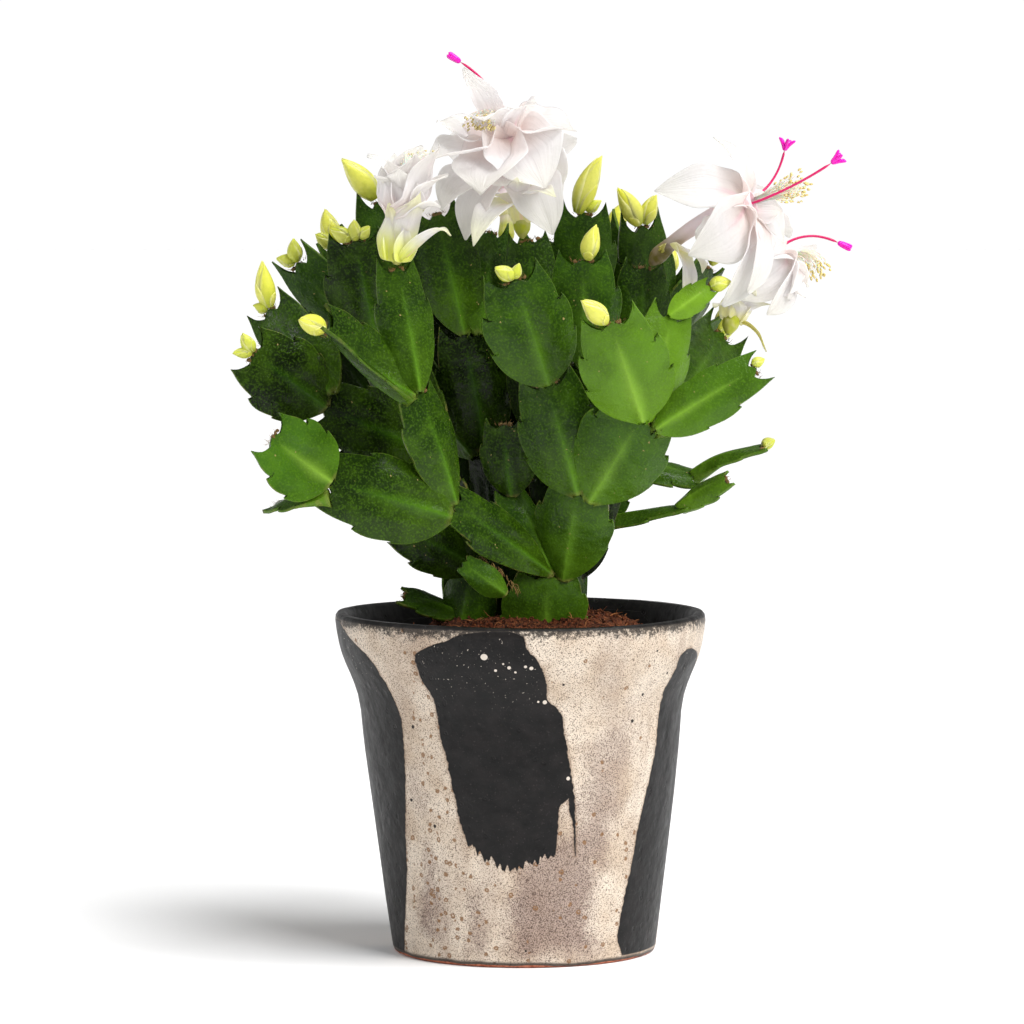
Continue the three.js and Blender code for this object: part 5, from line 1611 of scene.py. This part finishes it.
# In metres, degrees and watts, and millimetres for the lens
CAMERA_PLACE = (-0.003, -1.856, 0.2887)
CAMERA_PITCH = 3.798  # below level
CAMERA_LENS = 173.6
SENSOR = 36
SIGHT_END = 80
FLOOR_SIZE = 40
FLOOR_FRONT = 0.45  # the white floor starts to turn grey this far in front of the pot's axis
FLOOR_GREY = 2.2 * FLOOR_FRONT  # and is all grey from here
WALL_GLOW = 0.74
ROOM_GLOW = 0.28
KEY_WAY = (-0.37, 0.13, -0.92)
KEY_STRENGTH = 2.7
KEY_SPREAD = 30
LAMP_AIM = (0, 0, 0.2)
# Each lamp's place, size, power and whether it shows as a shine.
LAMPS = {
    "front_fill": ((1.5, -1.8, 1.4), 1.2, 54, False),
    "left_sheen": ((-1.2, -0.8, 0.9), 0.4, 5, True),
}


def placed_lamp(name, data, place, way):
    """Puts a lamp in the scene, turned to shine along a way."""
    holder = bpy.data.objects.new(name, data)
    bpy.context.collection.objects.link(holder)
    holder.location = place
    holder.rotation_euler = Vector(way).to_track_quat("-Z", "Y").to_euler()
    return holder


def build_floor():
    """A white floor that turns grey far in front, so that the pads mirror a dim room."""
    deselect()
    bpy.ops.mesh.primitive_plane_add(size=FLOOR_SIZE, location=(0, 0, 0))
    floor = bpy.context.active_object
    floor.name = "studio_floor"
    material, add, shader = start_material("white_studio_floor", Roughness=0.9, Specular_IOR_Level=0.0)
    place = add("SeparateXYZ", add("TexCoord", out="Object")).node.outputs
    white = add("MapRange", place["Y"], -FLOOR_GREY, -FLOOR_FRONT, **SOFT)
    mottle = blotches(add, 900, 0.3, 0.7)
    paint = add("Mix", mottle, "#fafafa", "#f9f9f9", data_type="RGBA")
    feed(shader, Base_Color=add("Mix", white, "#989898", paint, data_type="RGBA"))
    floor.data.materials.append(material)


def build_room():
    """A white wall behind the table, and a dim room above and in front of it."""
    world = bpy.data.worlds.new("studio")
    world.use_nodes = True
    bpy.context.scene.world = world
    add = functools.partial(add_node, world.node_tree)
    way = add("SeparateXYZ", add("TexCoord", out="Generated")).node.outputs
    low = add("MapRange", way["Z"], 0.06, 0.3, 1.0, 0.0, **SOFT)
    behind = add("MapRange", way["Y"], 0.1, 0.5, **SOFT)
    wall = add("Math", low, behind, operation="MULTIPLY")
    glow = add("Math", wall, WALL_GLOW, ROOM_GLOW, operation="MULTIPLY_ADD")
    background = world.node_tree.nodes["Background"]
    background.inputs["Color"].default_value = (1, 1, 1, 1)
    world.node_tree.links.new(glow, background.inputs["Strength"])


def build_lights():
    sun = bpy.data.lights.new("key", "SUN")
    sun.energy = KEY_STRENGTH
    sun.angle = math.radians(KEY_SPREAD)
    placed_lamp("key", sun, (0, 0, 0), KEY_WAY)
    for name, (place, size, power, shines) in LAMPS.items():
        lamp = bpy.data.lights.new(name, "AREA")
        lamp.size = size
        lamp.energy = power
        holder = placed_lamp(name, lamp, place, Vector(LAMP_AIM) - Vector(place))
        holder.visible_glossy = shines


def build_camera():
    lens = bpy.data.cameras.new("front")
    lens.lens = CAMERA_LENS
    lens.sensor_width = SENSOR
    lens.clip_end = SIGHT_END
    camera = bpy.data.objects.new("front", lens)
    bpy.context.collection.objects.link(camera)
    camera.location = CAMERA_PLACE
    camera.rotation_euler = (math.radians(90 - CAMERA_PITCH), 0, 0)
    bpy.context.scene.camera = camera
    bpy.context.scene.view_settings.view_transform = "Standard"


# Making

build_floor()
build_room()
build_lights()
build_camera()
build_pot(brushed_glaze())

# Slabs by their cells across and along, rods by their sides and rings
masters = {
    "pad": slab_master(24, ROWS - 1),
    "petal": slab_master(10, 16),
    "tepal": slab_master(6, 10),
    "bud": rod_master(12, 14),
    "tube": rod_master(24, 40),
    "stalk": rod_master(8, 14),
    "thread": rod_master(4, 7),
    "bristle": rod_master(3, 4),
    "crumb": crumb_master(),
}
materials = {
    "pad": waxy_pad_skin(),
    "areole": areole_felt(),
    "petal": petal_skin(),
    "tube": tube_skin(),
    "style": style_skin(),
    "filament": filament_skin(),
    "anther": pollen(),
    "peat": peat(),
    "fibre": peat_fibre(),
}
build_soil(materials["peat"])
build_litter(masters, materials)
build_stems(masters, materials)
build_inner_pads(masters, materials["pad"])
build_torn_joint(masters, materials)
build_buds(masters, bud_tepal_skin())
build_blooms(masters, materials)
for master in masters.values():
    bpy.data.objects.remove(master)
